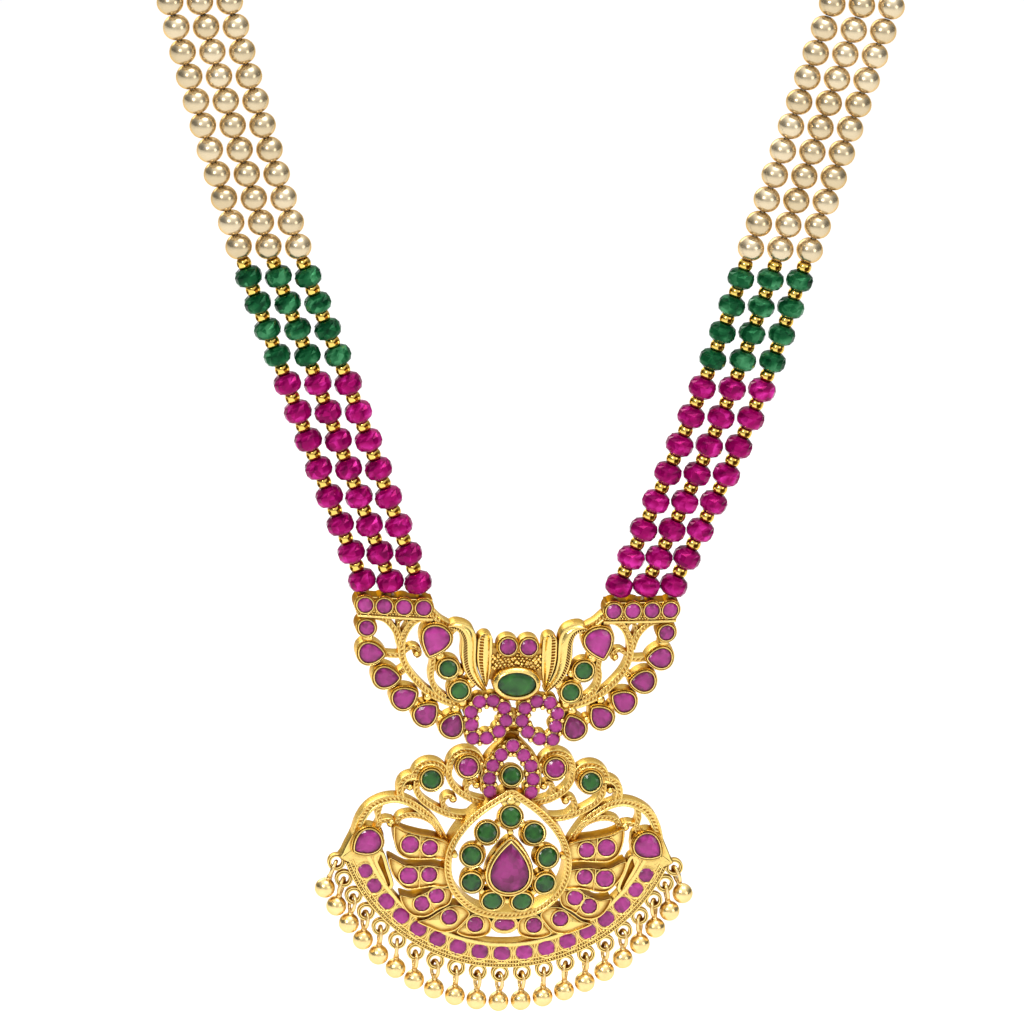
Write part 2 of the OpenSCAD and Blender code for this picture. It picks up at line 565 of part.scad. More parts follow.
// Drops: a ball on a stem under a loop that goes through an eyelet; the outer ones splay
loop_r = 1.1;
loop_wire_r = 0.3;
loop_drop = (eyelet_r + eyelet_hole_r) / 2;
ball_drop = 4.6;
splay = 20;
splay_power = 5;
module fan_drops() {
    for (i = [0:drop_count - 1]) {
        share = 2 * i / (drop_count - 1) - 1;
        at_eyelet(i) rotate([0, -splay * pow(share, splay_power), 0]) drop();
    }
}
module drop() {
    color("gold") {
        translate([0, 0, -loop_drop]) rotate([0, 90, 0])
            rotate_extrude($fn = 24) translate([loop_r, 0]) circle(loop_wire_r, $fn = 16);
        stem_foot = -ball_drop + drop_d / 2 - 0.4;
        translate([0, 0, stem_foot]) cylinder(r = 0.4, h = -loop_drop - loop_r - stem_foot, $fn = 16);
        translate([0, 0, -ball_drop]) sphere(d = drop_d, $fn = 32);
    }
}

// Set stones of the crescent
module round_stone(d) {
    cut_stone(oval_points(d, d, round_n), stone_t);
}
module bar_rubies() {
    color("mediumvioletred") both_sides() for (p = BAR_RUBIES)
        on_crescent(p[0], p[1], cup_rise) round_stone(bar_ruby_d);
}
module turned_pear(p, size, blunt) {
    rotate([0, -p[2], 0]) cut_stone(pear_points(size[0], size[1], pear_n, blunt), stone_t);
}
module edge_pears() {
    color("mediumvioletred") both_sides() for (p = EDGE_PEARS)
        on_crescent(p[0], p[1], cup_rise) turned_pear(p, EDGE_PEAR, edge_blunt);
}
module large_pears() {
    color("mediumvioletred") both_sides() for (p = LARGE_PEARS)
        on_crescent(p[0], p[1], cup_rise) turned_pear(p, LARGE_PEAR, pear_blunt);
}
module crescent_greens() {
    color("seagreen") both_sides() for (p = CRESCENT_GREENS)
        on_crescent(p[0], p[1], cup_rise) round_stone(crescent_green_d);
}
module top_rubies() {
    color("mediumvioletred") both_sides() for (p = TOP_RUBIES)
        on_crescent(p[0], p[1], top_rise) round_stone(top_ruby_d);
}
module oval_green() {
    color("seagreen") translate([OVAL_GREEN[0], crescent_front - oval_rise, OVAL_GREEN[1] - hang])
        cut_stone(oval_points(OVAL_SIZE[0], OVAL_SIZE[1], 16), stone_t);
}

// Set stones of the fan
module band_rubies() {
    color("mediumvioletred") for (i = [0:band_stones - 1]) at_band(i) round_stone(band_size(i));
}
module leaf_rubies() {
    color("mediumvioletred") {
        both_sides() for (p = LEAF_RUBIES) at_leaf(p) round_stone(p[2]);
        translate([LEAF_OVAL[0], fan_front - leaf_rise, LEAF_OVAL[1] - hang])
            cut_stone(oval_points(LEAF_OVAL_SIZE[0], LEAF_OVAL_SIZE[1], round_n), stone_t);
    }
}
module halo_greens() {
    color("seagreen") {
        both_sides() for (p = HALO_GREENS) on_fan(p[0], p[1], seat_rise) round_stone(halo_green_d);
        on_fan(HALO_TOP[0], HALO_TOP[1], seat_rise) round_stone(halo_green_d);
    }
}
module centre_pear() {
    outline = pear_points(CENTRE_PEAR_SIZE[0], CENTRE_PEAR_SIZE[1], pear_n, pear_blunt);
    color("mediumvioletred")
        translate([CENTRE_PEAR[0], fan_front - dome_h - pear_rise, CENTRE_PEAR[1] - hang])
            rotate([0, -90, 0]) cut_stone(outline, stone_t);
}
module arch_green() {
    color("seagreen") on_fan(ARCH_GREEN[0], ARCH_GREEN[1], seat_rise) round_stone(arch_green_d);
}
module outer_greens() {
    color("seagreen") both_sides() for (p = OUTER_GREENS)
        on_fan(p[0], p[1], seat_rise) round_stone(round_stone_d);
}
module shoulder_rubies() {
    color("mediumvioletred") both_sides() for (p = SHOULDER_RUBIES)
        on_fan(p[0], p[1], seat_rise) round_stone(round_stone_d);
}
module end_rubies() {
    color("mediumvioletred") both_sides() for (p = END_RUBIES)
        translate([p[0], fan_front - end_rise, p[1] - hang]) turned_pear(p, END_RUBY, edge_blunt);
}

// Children repeated along a half string
module along(side, strand, first, pitch, count) {
    mirror([side == "left" ? 1 : 0, 0, 0]) for (i = [0:count - 1])
        aim(on_string(side, strand, first + i * pitch), on_string(side, strand, first + i * pitch + 0.5))
            children();
}
module pearl() {
    difference() {
        sphere(d = pearl_d, $fn = 32);
        cylinder(d = bore_d, h = pearl_d + 1, center = true, $fn = 16);
    }
}
// A faceted rondelle, its widest faces at half a step to the ones at its ends
module rondelle(d, l) {
    n = 10;
    layers = [[-l / 2, 0.27 * d, 0], [-0.12 * l, d / 2, 0.5], [0.12 * l, d / 2, 0.5], [l / 2, 0.27 * d, 0]];
    verts = [for (layer = layers) for (i = [0:n - 1]) let (a = 360 * (i + layer[2]) / n)
        [layer[1] * cos(a), layer[1] * sin(a), layer[0]]];
    lower = [for (i = [0:n - 1]) each [[i, n + i, (i + 1) % n], [(i + 1) % n, n + i, n + (i + 1) % n]]];
    middle = [for (i = [0:n - 1]) [n + i, 2 * n + i, 2 * n + (i + 1) % n, n + (i + 1) % n]];
    upper = [for (i = [0:n - 1]) each [[2 * n + i, 3 * n + i, 3 * n + (i + 1) % n],
        [2 * n + i, 3 * n + (i + 1) % n, 2 * n + (i + 1) % n]]];
    caps = [[for (i = [0:n - 1]) i], [for (i = [n - 1:-1:0]) 3 * n + i]];
    difference() {
        polyhedron(verts, concat(lower, middle, upper, caps), convexity = 2);
        cylinder(d = bore_d, h = l + 1, center = true, $fn = 16);
    }
}
module pearls(side, strand) {
    color("wheat") along(side, strand, first_pearl, pearl_pitch, pearls_shown) pearl();
}
module emeralds(side, strand) {
    color("seagreen") along(side, strand, first_emerald, emerald_pitch, emerald_count)
        rondelle(emerald_d, emerald_l);
}
module rubies(side, strand) {
    color("mediumvioletred") along(side, strand, first_ruby, ruby_pitch, ruby_count) rondelle(ruby_d, ruby_l);
}

// A round tube swept along a string between two lengths; its rings stand square to the string
module sweep(side, strand, from, to, rings, r, n) {
    verts = [for (k = [0:rings - 1]) let (
        s = from + (to - from) * k / (rings - 1),
        here = on_string(side, strand, s),
        t = on_string(side, strand, min(s + 1, to)) - on_string(side, strand, max(s - 1, from)),
        up = t / norm(t),
        out = cross(up, [0.3, 0.2, -1]) / norm(cross(up, [0.3, 0.2, -1])),
        other = cross(up, out)) for (i = [0:n - 1])
            here + r * (cos(360 * i / n) * out + sin(360 * i / n) * other)];
    walls = [for (k = [0:rings - 2]) for (i = [0:n - 1]) let (
        a = k * n + i, b = k * n + (i + 1) % n) each [[a, a + n, b], [b, a + n, b + n]]];
    ends = [[for (i = [0:n - 1]) i], [for (i = [n - 1:-1:0]) (rings - 1) * n + i]];
    mirror([side == "left" ? 1 : 0, 0, 0]) polyhedron(verts, concat(walls, ends), convexity = 6);
}
module upper_string(side, strand) {
    color("wheat") sweep(side, strand, upper_start, string_end(side, strand), upper_rings, pearl_d / 2, 8);
}
module thread(side, strand) {
    color("tan") sweep(side, strand, 0.2, upper_start - end_gap, thread_rings, thread_d / 2, 6);
}

// Clasp: a plain bar at the nape that all strings end on
clasp_half = 5.3;
clasp_t = 4.4;
clasp_h = 13.6;
clasp_r = 1.5;
module clasp() {
    place = ROUTE[len(ROUTE) - 1];
    color("goldenrod") translate([0, place[1] + clasp_t / 2, place[2]]) rotate([90, 0, 0])
        linear_extrude(clasp_t) offset(r = clasp_r, $fn = 24)
            square([2 * (clasp_half - clasp_r), clasp_h - 2 * clasp_r], center = true);
}

crescent_plate();
fan_pendant();
fan_drops();
clasp();
bar_rubies();
edge_pears();
large_pears();
crescent_greens();
oval_green();
top_rubies();
band_rubies();
leaf_rubies();
halo_greens();
centre_pear();
arch_green();
outer_greens();
shoulder_rubies();
end_rubies();
for (side = SIDES) for (strand = STRANDS) {
    place = str(side, "_", strand);
    pearls(side, strand);
    emeralds(side, strand);
    rubies(side, strand);
    thread(side, strand);
    upper_string(side, strand);
}
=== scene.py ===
import math

import bmesh
import bpy
import numpy as np
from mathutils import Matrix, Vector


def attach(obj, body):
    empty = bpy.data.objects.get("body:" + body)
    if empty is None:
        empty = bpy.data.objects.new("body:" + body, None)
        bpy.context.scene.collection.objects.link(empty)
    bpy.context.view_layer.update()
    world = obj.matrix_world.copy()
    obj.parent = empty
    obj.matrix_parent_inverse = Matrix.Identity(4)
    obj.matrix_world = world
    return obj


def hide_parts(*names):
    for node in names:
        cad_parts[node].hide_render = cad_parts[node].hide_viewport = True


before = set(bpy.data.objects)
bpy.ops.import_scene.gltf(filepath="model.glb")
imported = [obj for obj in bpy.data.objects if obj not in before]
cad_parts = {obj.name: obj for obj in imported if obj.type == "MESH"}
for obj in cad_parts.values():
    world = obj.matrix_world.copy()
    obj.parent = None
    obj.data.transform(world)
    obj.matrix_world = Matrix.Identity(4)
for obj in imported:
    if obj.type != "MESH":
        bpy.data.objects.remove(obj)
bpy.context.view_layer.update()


# Studio: a pale floor well under the hanging necklace, a white surround, and soft lamps.
# The camera stands far off, a little to one side and above the jewel, and is rolled
# slightly, so that the crescent and fan fill the lower half of a square picture.
MM = 0.001
HANG = 190.0  # from the nape down to the link between crescent and fan, as the CAD hangs it
VIEW_AZIMUTH, VIEW_ELEVATION, VIEW_ROLL = math.radians(-7), math.radians(15), math.radians(2.8)
VIEW_WIDTH = 157.0  # millimetres of the jewel's plane across the picture
VIEW_MIDDLE = (-1.8, -1.4, 34.75)  # x, y and height over the link, in millimetres
VIEW_DISTANCE = 4.0
SENSOR, CLIP_END = 36.0, 20


def look_at_jewel():
    """Camera whose back axis is the direction given by azimuth and elevation; the roll turns its right
    and up axes about that one, and the lens is sensor x distance / width of view."""
    a, e, r = VIEW_AZIMUTH, VIEW_ELEVATION, VIEW_ROLL
    back = np.array([math.sin(a) * math.cos(e), -math.cos(a) * math.cos(e), math.sin(e)])
    right = np.array([math.cos(a), math.sin(a), 0])
    up = np.cross(back, right)
    x, y, height = VIEW_MIDDLE
    placed = np.eye(4)
    placed[:3, 0] = math.cos(r) * right + math.sin(r) * up
    placed[:3, 1] = math.cos(r) * up - math.sin(r) * right
    placed[:3, 2] = back
    placed[:3, 3] = np.array([x, y, height - HANG]) * MM + back * VIEW_DISTANCE
    camera = bpy.data.objects.new("camera", bpy.data.cameras.new("camera"))
    camera.data.sensor_width = SENSOR
    camera.data.lens = SENSOR * VIEW_DISTANCE / (VIEW_WIDTH * MM)
    camera.data.clip_end = CLIP_END
    bpy.context.scene.collection.objects.link(camera)
    camera.matrix_world = Matrix(placed.tolist())
    return camera


bpy.context.scene.camera = look_at_jewel()


def new_node(material, kind, inputs=None, **settings):
    """One shader node, with its settings, and a number or another node's socket for each input."""
    made = material.node_tree.nodes.new(f"ShaderNode{kind}")
    for key, value in settings.items():
        setattr(made, key, value)
    for key, value in (inputs or {}).items():
        if isinstance(value, bpy.types.NodeSocket):
            material.node_tree.links.new(value, made.inputs[key])
        else:
            made.inputs[key].default_value = value
    return made


def new_material(name):
    """Material with nothing in its node tree."""
    material = bpy.data.materials.new(name)
    material.use_nodes = True
    material.node_tree.nodes.clear()
    return material


def grid_faces(rows, columns, closed=False):
    """Quads between neighbouring rows of a grid numbered row by row. The last column joins the first,
    and in a closed grid the last row joins the first."""
    r, c = np.meshgrid(np.arange(rows if closed else rows - 1), np.arange(columns), indexing="ij")
    r_next, c_next = (r + 1) % rows, (c + 1) % columns
    corners = [r * columns + c, r * columns + c_next, r_next * columns + c_next, r_next * columns + c]
    return np.stack([corner.ravel() for corner in corners], 1)


def turns(n):
    """Angles of n equal turns, in radians."""
    return 2 * math.pi * np.arange(n) / n


FLOOR_R, FLOOR_Z, FLOOR_RINGS, FLOOR_POINTS = 25.0, -0.34, 8, 64


def floor_disc():
    """Disc of rings at the square of an even step, closed at its middle by a fan."""
    a, r = turns(FLOOR_POINTS), FLOOR_R * np.linspace(0.1, 1, FLOOR_RINGS)**2
    rings = np.stack([np.outer(r, np.cos(a)), np.outer(r, np.sin(a)),
                      np.full((FLOOR_RINGS, FLOOR_POINTS), FLOOR_Z)], 2).reshape(-1, 3)
    quads = grid_faces(FLOOR_RINGS, FLOOR_POINTS)[:, ::-1].tolist()
    fan = [(len(rings), c, (c + 1) % FLOOR_POINTS) for c in range(FLOOR_POINTS)]
    mesh = bpy.data.meshes.new("floor")
    mesh.from_pydata(np.vstack([rings, [0, 0, FLOOR_Z]]).tolist(), [], quads + fan)
    return bpy.data.objects.new("floor", mesh)


floor = floor_disc()
paper = new_material("paper")
paper_shader = new_node(paper, "BsdfDiffuse", {"Color": (0.97, 0.97, 0.97, 1)})
new_node(paper, "OutputMaterial", {"Surface": paper_shader.outputs[0]})
floor.data.materials.append(paper)
bpy.context.scene.collection.objects.link(floor)

# Lamps: name, place and diameter in metres, power in watts and colour; each looks at the jewel.
LAMPS = [
    ("key", (-0.6, -0.9, 0.45), 0.22, 3.6, (1, 0.98, 0.95)),
    ("fill", (0.8, -0.9, 0.1), 0.5, 1.6, (1, 0.99, 0.97)),
    ("top", (0.1, -0.15, 0.6), 0.5, 2.4, (1, 1, 1)),
    ("back", (-0.3, 0.7, 0.2), 0.5, 1.5, (1, 1, 1)),
]
for name, place, size, power, colour in LAMPS:
    lamp = bpy.data.lights.new(name, "AREA")
    lamp.shape, lamp.size, lamp.energy, lamp.color = "DISK", size, power, colour
    lamp_object = bpy.data.objects.new(name, lamp)
    lamp_object.location = place
    aim = Vector((0, 0, -HANG * MM)) - Vector(place)
    lamp_object.rotation_euler = aim.to_track_quat("-Z", "Y").to_euler()
    lamp_object.visible_camera = False
    bpy.context.scene.collection.objects.link(lamp_object)
# The surround brightens upwards and darkens to both sides, which gives the gold its dark edges.
world = bpy.data.worlds.new("studio")
world.use_nodes = True
world.node_tree.nodes.clear()
world_way = new_node(world, "SeparateXYZ", {0: new_node(world, "TexCoord").outputs["Generated"]})
world_up = new_node(world, "MapRange", {"Value": world_way.outputs["Z"], "To Min": 0.55, "To Max": 1.4})
world_side = new_node(world, "Math", {0: world_way.outputs["X"]}, operation="ABSOLUTE")
world_flag = new_node(world, "MapRange", {
    "Value": world_side.outputs[0], "From Min": 0.45, "From Max": 0.9, "To Min": 1.0, "To Max": 0.2})
world_light = new_node(world, "Math", {0: world_up.outputs[0], 1: world_flag.outputs[0]},
                       operation="MULTIPLY")
world_shader = new_node(world, "Background", {"Color": (1, 1, 1, 1), "Strength": world_light.outputs[0]})
new_node(world, "OutputWorld", {"Surface": world_shader.outputs[0]})
bpy.context.scene.world = world
bpy.context.scene.view_settings.view_transform = "Standard"


# Crescent lace: cast gold vines, two thin rims with a row of milgrain between them, their
# ends rolled into bulbs, and the long almond knot under each end of the bar. 22 carat gold,
# polished on its rims and matt in its recesses, whose colour is darkened there as painted shade.
# It is one casting with what follows. A relief point is x and height from the link, h over the
# plate's front, and a shade from 0 in a recess to 1 on a polished rim: it sets the roughness, and
# low shades on recesses, grooves, walls and backs paint shade into the colour.
CRESCENT_FRONT = -1.6
CRESCENT_DEEP = -2.75
BEND_R = 140.0


def smooth(points, steps=6, closed=False):
    """Curve through given points. Between two of them it is the cubic whose slope at each is half
    the way from the point before it to the point after it."""
    p = np.asarray(points, float)
    q = np.vstack([p[-1:], p, p[:2]]) if closed else np.vstack([p[:1], p, p[-1:]])
    t = np.linspace(0, 1, steps, endpoint=False)[None, :, None]
    a, b, c, d = (q[k:len(q) - 3 + k, None] for k in range(4))
    curve = 0.5 * (2 * b + (c - a) * t + (2 * a - 5 * b + 4 * c - d) * t**2 + (3 * b - a - 3 * c + d) * t**3)
    curve = curve.reshape(-1, p.shape[1])
    return curve if closed else np.vstack([curve, p[-1:]])


def lengths(curve):
    """Distance along a curve at each of its points: the running sum of its steps."""
    return np.concatenate([[0], np.cumsum(np.linalg.norm(np.diff(curve, axis=0), axis=1))])


def at_lengths(curve, distances):
    """Points of a curve at distances along it: each coordinate read off against the running length."""
    s = lengths(curve)
    return np.stack([np.interp(distances, s, column) for column in curve.T], 1)


def even(curve, count):
    """The same curve at equal steps."""
    curve = np.asarray(curve, float)
    return at_lengths(curve, np.linspace(0, lengths(curve)[-1], count))


def loft(sections, closed=False):
    """Closed skin over a stack of equal rings: quads between neighbours, and a fan from the mean of the
    first ring and of the last, unless the stack itself closes on its first ring. A triangle is a face
    whose fourth number is -1."""
    sections = np.asarray(sections, float)
    rows, columns, width = sections.shape
    points, faces = sections.reshape(-1, width), grid_faces(rows, columns, closed)
    if closed:
        return points, faces
    points = np.vstack([points, sections[0].mean(0), sections[-1].mean(0)])
    c, last = np.arange(columns), (rows - 1) * columns
    around, none, middle = (c + 1) % columns, np.full(columns, -1), np.full(columns, rows * columns)
    start_fan = np.stack([middle, around, c, none], 1)
    end_fan = np.stack([middle + 1, last + c, last + around, none], 1)
    return points, np.vstack([faces, start_fan, end_fan])


def join(shapes):
    """Shapes as one: their points in a row, and each face's numbers raised by the points before it."""
    shapes = list(shapes)
    starts = np.cumsum([0] + [len(points) for points, _ in shapes[:-1]])
    faces = [np.where(faces < 0, -1, faces + start) for (_, faces), start in zip(shapes, starts)]
    return np.vstack([points for points, _ in shapes]), np.vstack(faces)


def both_sides(*shapes):
    """The shapes and their mirror images in the plane x = 0."""
    points, faces = join(shapes)
    return join([(points, faces), (points * [-1, 1, 1, 1], faces)])


def left_of(steps):
    """Unit vector to the left of each flat step: (-z, x) over its length."""
    return np.stack([-steps[:, 1], steps[:, 0]], 1) / np.linalg.norm(steps, axis=1, keepdims=True)


def beside(curve, closed=False):
    """Unit vector to the left of a flat curve at each point, square to the step across that point."""
    return left_of(np.roll(curve, -1, 0) - np.roll(curve, 1, 0) if closed else np.gradient(curve, axis=0))


def strip(curve, profile, half_width, closed=False, lift=0.0):
    """Bar along a flat curve. Profile columns: side as a share of the half width, height and shade; a
    point is the curve + side x half width x the unit vector beside it, at that height."""
    profile = np.asarray(profile, float)
    half = np.broadcast_to(half_width, len(curve))[:, None, None]
    flat = curve[:, None] + half * profile[None, :, :1] * beside(curve, closed)[:, None]
    rest = np.broadcast_to(profile[None, :, 1:] + [lift, 0], flat.shape[:2] + (2,))
    return loft(np.concatenate([flat, rest], 2), closed)


def grains(curve, pitch, r, lift):
    """Row of small domes at equal steps along a curve."""
    return scatter(dome(r), even(curve, max(int(lengths(curve)[-1] / pitch), 2)), lift)


def ring_of(x, z, r, n, start=0.0):
    """Circle of n points, anticlockwise from an angle."""
    a = turns(n) + start
    return np.stack([x + r * np.cos(a), z + r * np.sin(a)], 1)


def level(outline, h, shade):
    """Outline at one height and shade."""
    return np.column_stack([outline, np.full(len(outline), h), np.full(len(outline), shade)])


def dome(r, n=6, shade=0.9, sunk=0.6):
    """Grain of gold: a circle sunk a little, one at the ground, one at 0.8 of its width, and a cap."""
    steps = [(1.0, -sunk, 0.2), (1.0, 0.0, 0.55), (0.75, 0.62, shade), (0.3, 0.9, 1.0)]
    return loft([level(ring_of(0, 0, r * w, n), r * h, s) for w, h, s in steps])


def repeat_faces(faces, size, count):
    """Faces of count copies of a shape of so many points; a triangle's -1 stays."""
    raised = faces[None] + size * np.arange(count)[:, None, None]
    return np.where(faces[None] < 0, -1, raised).reshape(-1, 4)


def scatter(shape, places, lift):
    """Copies of a relief shape, one at each x and z, all lifted alike."""
    points, faces = shape
    places = np.column_stack([places, np.broadcast_to(lift, len(places)), np.zeros(len(places))])
    return (places[:, None] + points[None]).reshape(-1, 4), repeat_faces(faces, len(points), len(places))


def grow(outline, distance):
    """Anticlockwise outline moved outwards along its own normals."""
    return outline - distance * beside(outline, closed=True)


def pile(outline, steps):
    """Closed solid of one outline over another; each step's columns are growth, height and shade."""
    return loft([level(grow(outline, d), h, s) for d, h, s in steps])


def bulb(x, z, r, deep, top=0.1):
    """Round end of a vine: a post with a domed top."""
    steps = [(0, deep, 0.2), (0, -0.25, 0.6), (-0.12 * r, top - 0.1, 0.9), (-0.45 * r, top + 0.12, 1),
             (-0.8 * r, top + 0.2, 1)]
    return pile(ring_of(x, z, r, 16), steps)


# Pits and nicks are sunk and their colour darkened: painted shade.
PIT_STEP, PIT_DEEP, PIT_PAINTED_SHADE = 0.31, 0.22, -0.4
NICK_DEEP, NICK_PAINTED_DARKER = 0.1, 0.35


def pitted(curve, deep, half, closed=False, lift=0.0):
    """Bar along an even curve with two rounded rims and, in the shallow channel between them, a pit at
    every other step, and a nick in each rim at the steps between; pits, nicks and walls are darkened as
    painted shade."""
    side = [(0.94, deep, 0.3), (1, deep + 0.3, 0.45), (1, -0.3, 0.6), (0.95, -0.08, 0.95), (0.8, 0.02, 1),
            (0.6, -0.03, 0.95), (0.42, -0.14, 0.7)]
    profile = [(-s, h, shade) for s, h, shade in side] + [(0, -0.08, 0.9)] + side[::-1]
    points, faces = strip(curve, profile, half, closed, lift)
    middle = np.arange(0, len(curve) - 1, 2) * len(profile) + len(side)
    points[middle, 2] -= PIT_DEEP
    points[middle, 3] = PIT_PAINTED_SHADE
    rim = np.arange(1, len(curve), 2)[:, None] * len(profile) + [len(side) - 3, len(side) + 3]
    points[rim, 2] -= NICK_DEEP
    points[rim, 3] *= NICK_PAINTED_DARKER
    return points, faces


def vine(points, deep, width, width_end=None):
    """Pitted bar along the smooth curve through points, a pit or a nick at every step, whose width runs
    evenly from the first to the second where two are given."""
    curve = smooth(points)
    curve = even(curve, max(int(lengths(curve)[-1] / PIT_STEP), 8))
    return pitted(curve, deep, np.linspace(width, width_end or width, len(curve)) / 2)


# Columns: the points of each vine's middle line, then its width.
CRESCENT_VINES = [
    ([(13.2, 17.3), (14.6, 17.5), (15.8, 17.0), (16.8, 15.9), (17.5, 14.3), (17.7, 12.8), (17.5, 11.2),
      (16.8, 9.5), (15.6, 7.9), (14, 6.3), (12.4, 5.2), (10.2, 4.2), (7.4, 3.6)], 1.15),
    ([(22.4, 17.3), (20.6, 17), (19.3, 15.9), (18.5, 14.6), (18, 12.9)], 0.95),
    ([(17.5, 11.4), (19, 11.3), (20.8, 11.4)], 0.85),
    ([(16.9, 9.3), (17.9, 8.5)], 1.1),
    ([(12.9, 11.4), (12.8, 10), (13, 8.6), (12.7, 7.1), (11.8, 5.8), (10.6, 4.9)], 0.95),
    ([(17.5, 11.6), (16.9, 12.3), (16, 12.8), (15.1, 12.5), (14.9, 11.7), (15.5, 11.3)], 0.7),
    ([(13.4, 18.4), (12, 17.1), (10.6, 16.3), (9.6, 15.4)], 1.2),
    ([(17.7, 14.4), (17.1, 15.4), (17, 16.5), (17.6, 17.2), (18.3, 16.7), (18.3, 15.5), (17.8, 14.4)], 0.55),
]
# Columns: x, height and radius.
CRESCENT_BULBS = [(15.4, 11.7, 0.5), (22.8, 13.8, 0.8), (13.4, 4.9, 0.7), (9, 3.2, 0.8), (15.2, 3.9, 0.7),
                  (11.4, 1.7, 0.7), (8.7, 9.2, 0.8), (9.5, 8, 0.8), (6.9, 7.4, 0.9), (11.7, 11.5, 0.8),
                  (7.9, 4.3, 0.8)]


def on_crescent(shape):
    """Relief laid on the crescent: y is the front + the fall of the bend, R - sqrt(R^2 - x^2), - h."""
    points, faces = shape
    x, z, h, shade = points.T
    y = CRESCENT_FRONT + BEND_R - np.sqrt(BEND_R**2 - x**2) - h
    return np.stack([x, y, z - HANG, shade], 1), faces


MERGE_DISTANCE = 0.0005  # millimetres between points that become one


def make_piece(name, shape, material, body, slot, *nodes, crease=40):
    """Mesh object from points in millimetres with a shade each. It rides on its body and stands for the
    CAD nodes named. Its normals are turned outwards, and edges sharper than the crease, in degrees,
    stay sharp."""
    points, faces = shape
    corners, count = faces[faces >= 0], np.where(faces[:, 3] < 0, 3, 4)
    mesh = bpy.data.meshes.new(name)
    mesh.vertices.add(len(points))
    mesh.vertices.foreach_set("co", (points[:, :3] * MM).ravel())
    mesh.loops.add(len(corners))
    mesh.loops.foreach_set("vertex_index", corners.astype(np.int32))
    mesh.polygons.add(len(faces))
    mesh.polygons.foreach_set("loop_start", (np.cumsum(count) - count).astype(np.int32))
    mesh.update(calc_edges=True)
    mesh.attributes.new("shade", "FLOAT", "POINT").data.foreach_set("value", points[:, 3].astype(np.float32))
    worked = bmesh.new()
    worked.from_mesh(mesh)
    bmesh.ops.remove_doubles(worked, verts=worked.verts, dist=MERGE_DISTANCE * MM)
    bmesh.ops.recalc_face_normals(worked, faces=worked.faces)
    worked.to_mesh(mesh)
    worked.free()
    mesh.polygons.foreach_set("use_smooth", [crease > 0] * len(mesh.polygons))
    mesh.set_sharp_from_angle(angle=math.radians(crease))
    mesh.materials.append(material)
    piece = bpy.data.objects.new(name, mesh)
    bpy.context.scene.collection.objects.link(piece)
    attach(piece, body)
    if nodes:
        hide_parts(*nodes)


def place_of(material):
    """Socket that gives a point's place, in the piece's own coordinates."""
    return new_node(material, "TexCoord").outputs["Object"]


def shade_of(material):
    """Socket that gives the shade stored at each point."""
    return new_node(material, "Attribute", attribute_name="shade").outputs["Fac"]


def blended(material, pattern, share, tone, low, high):
    """Share x pattern + tone, spread so that low becomes 0 and high becomes 1."""
    mixed = new_node(material, "Math", {0: pattern, 1: share, 2: tone}, operation="MULTIPLY_ADD").outputs[0]
    return new_node(material, "MapRange", {"Value": mixed, "From Min": low, "From Max": high}).outputs[0]


def two_tones(material, factor, dark, light):
    """Colour that runs from dark at factor 0 to light at factor 1."""
    mix = new_node(material, "Mix", {"Factor": factor}, data_type="RGBA")
    mix.inputs[6].default_value, mix.inputs[7].default_value = (*dark, 1), (*light, 1)
    return mix.outputs[2]


def surfaced(material, inputs):
    """The material, with a principled shader of these inputs as its surface."""
    shader = new_node(material, "BsdfPrincipled", inputs)
    new_node(material, "OutputMaterial", {"Surface": shader.outputs[0]})
    return material


# Crevices get painted shade: ambient occlusion within this distance darkens the gold's colour.
CREVICE = 0.0007  # how near another surface has to be, in metres, to darken the gold


def gold(name, bright, deep, polished, matt, grain):
    """Gold whose colour and roughness run from deep and matt at shade 0 and in crevices to bright and
    polished at shade 1, clouded a little, with a bump of cast grain. The deep colour in recesses and crevices
    is painted shade."""
    material = new_material(name)
    place = place_of(material)
    crevice_shade = new_node(material, "AmbientOcclusion", {"Distance": CREVICE}, samples=6).outputs["AO"]
    unshaded_share = new_node(material, "MapRange", {"Value": crevice_shade, "To Min": 0.1}).outputs[0]
    clear = new_node(material, "Math", {0: shade_of(material), 1: unshaded_share},
                     operation="MULTIPLY").outputs[0]
    cloud = new_node(material, "TexNoise", {"Vector": place, "Scale": 900.0, "Detail": 4.0}).outputs["Fac"]
    blend = blended(material, cloud, 0.4, clear, 0.2, 1.05)
    rough = new_node(material, "MapRange", {"Value": blend, "To Min": matt, "To Max": polished}).outputs[0]
    cast = new_node(material, "TexNoise", {"Vector": place, "Scale": 3200.0, "Detail": 4.0}).outputs["Fac"]
    bump = new_node(material, "Bump", {"Height": cast, "Strength": grain, "Distance": 0.00006}).outputs[0]
    # Colour runs from deep to bright: painted shade in recesses and crevices; roughness runs from matt to
    # polished.
    return surfaced(material, {
        "Base Color": two_tones(material, blend, deep, bright), "Metallic": 1.0, "Roughness": rough,
        "Normal": bump, "Specular Tint": (1.0, 0.78, 0.42, 1)})


cast_gold = gold("cast_gold", bright=(0.9, 0.66, 0.21), deep=(0.3, 0.11, 0.005), polished=0.14, matt=0.42,
                 grain=0.8)

crescent_parts = [vine(points, CRESCENT_DEEP, width) for points, width in CRESCENT_VINES]
crescent_parts += [bulb(x, z, r, CRESCENT_DEEP) for x, z, r in CRESCENT_BULBS]
make_piece("crescent_lace", on_crescent(both_sides(*crescent_parts)), cast_gold,
           "necklace", "gold", "crescent_plate")


